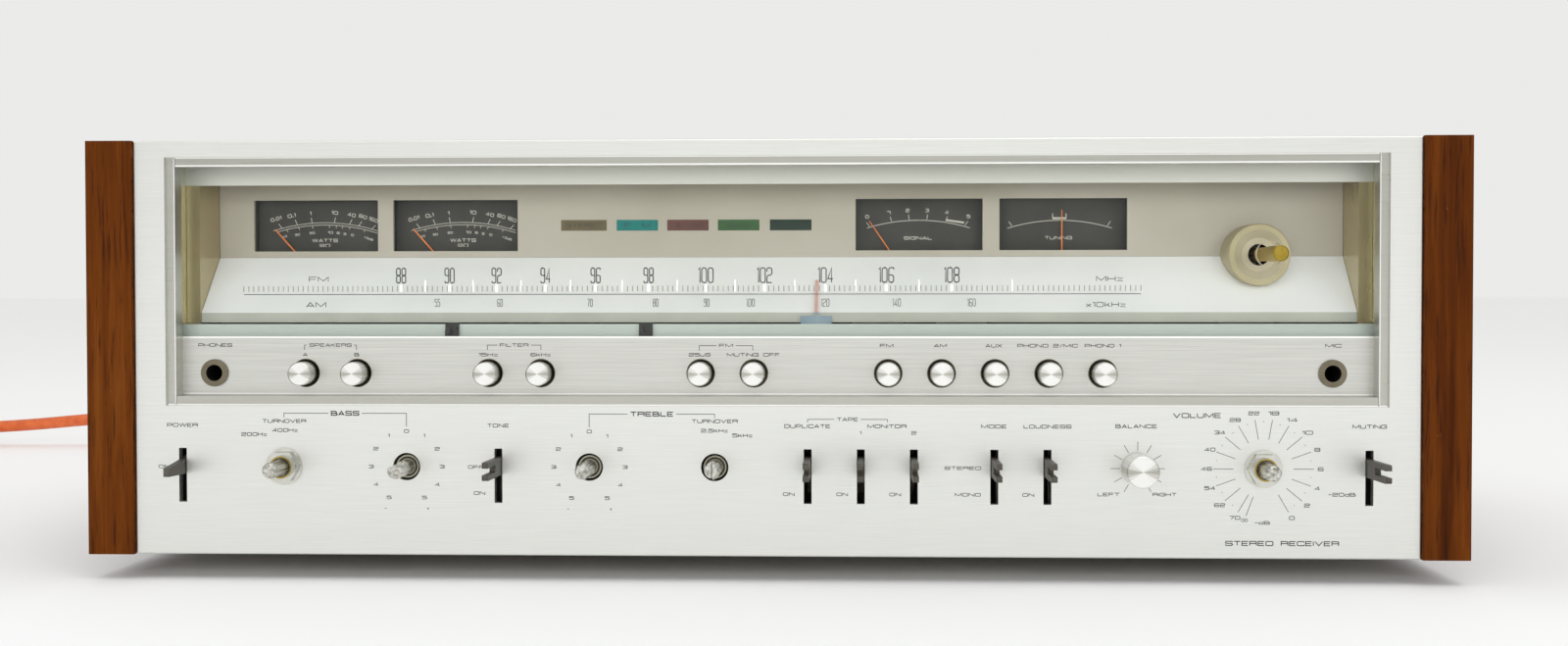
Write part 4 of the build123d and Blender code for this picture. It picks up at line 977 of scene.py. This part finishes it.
signal_x = SIGNAL_METER_X + 0.2
meter_arc(signal_x - 0.3, 139.5, (-20.8, 20.8), 0.26)
SIGNAL_MARKS = [-20.0, -11.0, -4.0, 3.2, 10.8, 18.6]
SIGNAL_WORDS = [
    (-21.0, 141.0), (-12.3, 142.6), (-4.6, 143.5), (3.3, 143.5), (11.3, 142.7), (20.0, 141.0),
]
for number, (tick_x, word) in enumerate(zip(SIGNAL_MARKS, SIGNAL_WORDS)):
    foot_x = signal_x + tick_x
    ray((SIGNAL_METER_X, SMALL_PIVOT_Z), foot_x, on_arc(signal_x, 139.7, foot_x) + 0.2, 2.0, 0.24)
    meter_print.text(str(number), signal_x + word[0], word[1], 1.45, 1.5)
meter_print.line((signal_x + 10.8, 139.6), (signal_x + 18.2, 138.5), 0.75)
meter_print.text("SIGNAL", signal_x - 0.4, 132.3, 1.35, 11.4)

tuning_x = TUNING_METER_X + 0.3
meter_arc(tuning_x - 1.0, 139.35, (-21.0, 21.0), 0.26)
for tick_x in (-20.2, 18.2):
    foot_x = tuning_x + tick_x
    foot_z = on_arc(tuning_x - 1.0, 139.6, foot_x) + 0.2
    ray((TUNING_METER_X, SMALL_PIVOT_Z), foot_x, foot_z, 2.2, 0.26)
meter_print.line((tuning_x - 3.8, 140.2), (tuning_x + 1.6, 140.2), 0.75)
for tick_x in (-3.8, 1.6):
    meter_print.line((tuning_x + tick_x, 139.9), (tuning_x + tick_x, 142.1), 0.3)
meter_print.text("TUNING", tuning_x - 1.5, 132.3, 1.35, 11.0)
meter_print.finish()

# Words on the indicator lenses
LENS_DEPTH = 44.3
lens_ink = ink("lens_ink", srgb(34, 36, 36), 0.5)
lens_print = Print("indicator_lettering", LENS_DEPTH, lens_ink)
LENS_WORDS = [("STEREO", 14.6), ("F  M", 10.6), ("A  M", 10.6), ("AUX", 9.6), ("PHONO", 12.8)]
for x, (words, width) in zip(LENS_AT, LENS_WORDS):
    lens_print.text(words, x, LENS_Z, 1.9, width, bold=0.14)
lens_print.finish()

# Mains lead: the same route as the CAD lead's, then the turns of its coil, as one smooth curve
LEAD_D = 0.008
LEAD_EXIT = (-0.215, 0.1995, 0.042)
LEAD_ROUTE = [
    LEAD_EXIT,
    (-0.215, 0.243, 0.042),
    (-0.232, 0.292, 0.039),
    (-0.276, 0.336, 0.0355),
    (-0.340, 0.368, 0.031),
    (-0.412, 0.387, 0.026),
    (-0.490, 0.396, 0.0205),
    (-0.556, 0.398, 0.0142),
    (-0.606, 0.397, 0.0126),
]
COIL_AT = (-0.618, 0.352)
COIL_START_DEG = 75.0
PER_TURN = 16
UPPER_Z, LOWER_Z = 0.0123, 0.0041
UPPER_TURNS, DROP_TURNS, LOWER_TURNS = 2.0, 0.5, 2.7917
PITCH = 0.0081


def coil_points():
    """Two turns inwards on the upper layer, half a turn down, and the rest outwards below."""
    points = []
    total = UPPER_TURNS + DROP_TURNS + LOWER_TURNS
    outer = 0.048
    inner = outer - UPPER_TURNS * PITCH
    for step in range(1, round(total * PER_TURN) + 1):
        turns = step / PER_TURN
        if turns < UPPER_TURNS:
            radius, z = outer - turns * PITCH, UPPER_Z
        elif turns < UPPER_TURNS + DROP_TURNS:
            share = (turns - UPPER_TURNS) / DROP_TURNS
            radius, z = inner, UPPER_Z + (LOWER_Z - UPPER_Z) * share
        else:
            radius, z = inner + (turns - UPPER_TURNS - DROP_TURNS) * PITCH, LOWER_Z
        angle = math.radians(COIL_START_DEG) + math.tau * turns
        points.append(
            (COIL_AT[0] + radius * math.cos(angle), COIL_AT[1] + radius * math.sin(angle), z)
        )
    return points


PLUG_X = -0.668
TO_PLUG = [
    (-0.6715, 0.343, 0.0055),
    (-0.6695, 0.333, 0.0085),
    (PLUG_X, 0.324, 0.0108),
    (PLUG_X, 0.312, 0.011),
]
lead_points = LEAD_ROUTE + coil_points() + TO_PLUG
lead_curve = bpy.data.curves.new("mains_lead", "CURVE")
lead_curve.dimensions = "3D"
lead_curve.bevel_depth = LEAD_D / 2
lead_curve.bevel_resolution = 6
lead_curve.resolution_u = 8
lead_curve.use_fill_caps = True
spline = lead_curve.splines.new("NURBS")
spline.points.add(len(lead_points) - 1)
for point, place in zip(spline.points, lead_points):
    point.co = (*place, 1)
spline.order_u = 3
spline.use_endpoint_u = True
lead_curve.materials.append(lead_orange)
mains_lead = bpy.data.objects.new("mains_lead", lead_curve)
bpy.context.scene.collection.objects.link(mains_lead)
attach(mains_lead, "root")
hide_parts("power_cord", "cord_coil")


def floor_paper():
    """Matt white paper whose tone shifts a little from the front to the back."""
    material = plain("floor_paper", srgb(240, 240, 240), 0.9, Specular_IOR_Level=0.05)
    tree = material.node_tree
    place = tree.nodes.new("ShaderNodeTexCoord")
    axes = tree.nodes.new("ShaderNodeSeparateXYZ")
    tree.links.new(place.outputs["Object"], axes.inputs["Vector"])
    depth = spread(material, axes.outputs["Y"], 0.0, 1.0, -0.35, 0.9)
    stops = [(0.0, srgb(248, 248, 249)), (1.0, srgb(251, 251, 250))]
    tones = ramp(material, depth.outputs["Result"], stops)
    tree.links.new(tones.outputs["Color"], shader_of(material).inputs["Base Color"])
    return material


# Floor
FLOOR_HALF = 12.0
floor_mesh = bpy.data.meshes.new("floor")
floor_mesh.from_pydata(
    [(x * FLOOR_HALF, y * FLOOR_HALF, 0) for x, y in ((-1, -1), (1, -1), (1, 1), (-1, 1))],
    [],
    [(0, 1, 2, 3)],
)
floor_mesh.materials.append(floor_paper())
floor = bpy.data.objects.new("floor", floor_mesh)
bpy.context.scene.collection.objects.link(floor)

# Camera
camera_data = bpy.data.cameras.new("camera")
camera_data.lens = 42.75
camera_data.sensor_width = 36
camera = bpy.data.objects.new("camera", camera_data)
camera.location = (0.0346, -0.8801, 0.1147)
camera.rotation_euler = (math.radians(88.728), math.radians(0.07), math.radians(2.352))
bpy.context.scene.collection.objects.link(camera)
bpy.context.scene.camera = camera

# Light: a pale room, even behind the object and dimmer to both sides in front of it
world = bpy.data.worlds.new("room")
world.use_nodes = True
room = world.node_tree
toward = room.nodes.new("ShaderNodeTexCoord")
parts = room.nodes.new("ShaderNodeSeparateXYZ")
room.links.new(toward.outputs["Generated"], parts.inputs["Vector"])


def room_ramp(source, low, high, from_low, from_high):
    node = room.nodes.new("ShaderNodeMapRange")
    node.inputs["From Min"].default_value = from_low
    node.inputs["From Max"].default_value = from_high
    node.inputs["To Min"].default_value = low
    node.inputs["To Max"].default_value = high
    room.links.new(source, node.inputs["Value"])
    return node


def room_math(operation, first, second):
    node = room.nodes.new("ShaderNodeMath")
    node.operation = operation
    for socket, source in zip(node.inputs, (first, second)):
        if isinstance(source, float):
            socket.default_value = source
        else:
            room.links.new(source, socket)
    return node.outputs["Value"]


BEHIND = 0.83
to_side = room_math("ABSOLUTE", parts.outputs["X"], 0.0)
sideways = room_ramp(to_side, 0.99, 0.68, 0.1, 0.6)
upward = room_ramp(parts.outputs["Z"], 0.92, 1.02, -0.1, 0.8)
ahead = room_ramp(parts.outputs["Y"], 1.0, 0.0, -0.25, 0.15)
in_front = room_math("MULTIPLY", sideways.outputs["Result"], upward.outputs["Result"])
change = room_math("SUBTRACT", in_front, BEHIND)
share = room_math("MULTIPLY", change, ahead.outputs["Result"])
strength = room_math("ADD", share, BEHIND)
room.links.new(strength, room.nodes["Background"].inputs["Strength"])
room.nodes["Background"].inputs["Color"].default_value = (1.0, 1.0, 0.99, 1)
bpy.context.scene.world = world


def lamp(name, place, aim, size, power):
    """A white rectangular lamp that the camera doesn't see."""
    data = bpy.data.lights.new(name, "AREA")
    data.shape = "RECTANGLE"
    data.size, data.size_y = size
    data.energy = power
    made = bpy.data.objects.new(name, data)
    made.location = place
    made.rotation_euler = (Vector(aim) - Vector(place)).to_track_quat("-Z", "Y").to_euler()
    made.visible_camera = False
    bpy.context.scene.collection.objects.link(made)
    return made


lamp("key", (0.4, -1.6, 2.6), (0, 0, 0.08), (2.0, 1.4), 14)
front = lamp("front_fill", (0.1, -2.2, 0.5), (0, 0, 0.12), (2.6, 0.8), 26)
front.visible_glossy = False

bpy.context.scene.view_settings.view_transform = "Standard"
bpy.context.scene.view_settings.look = "None"
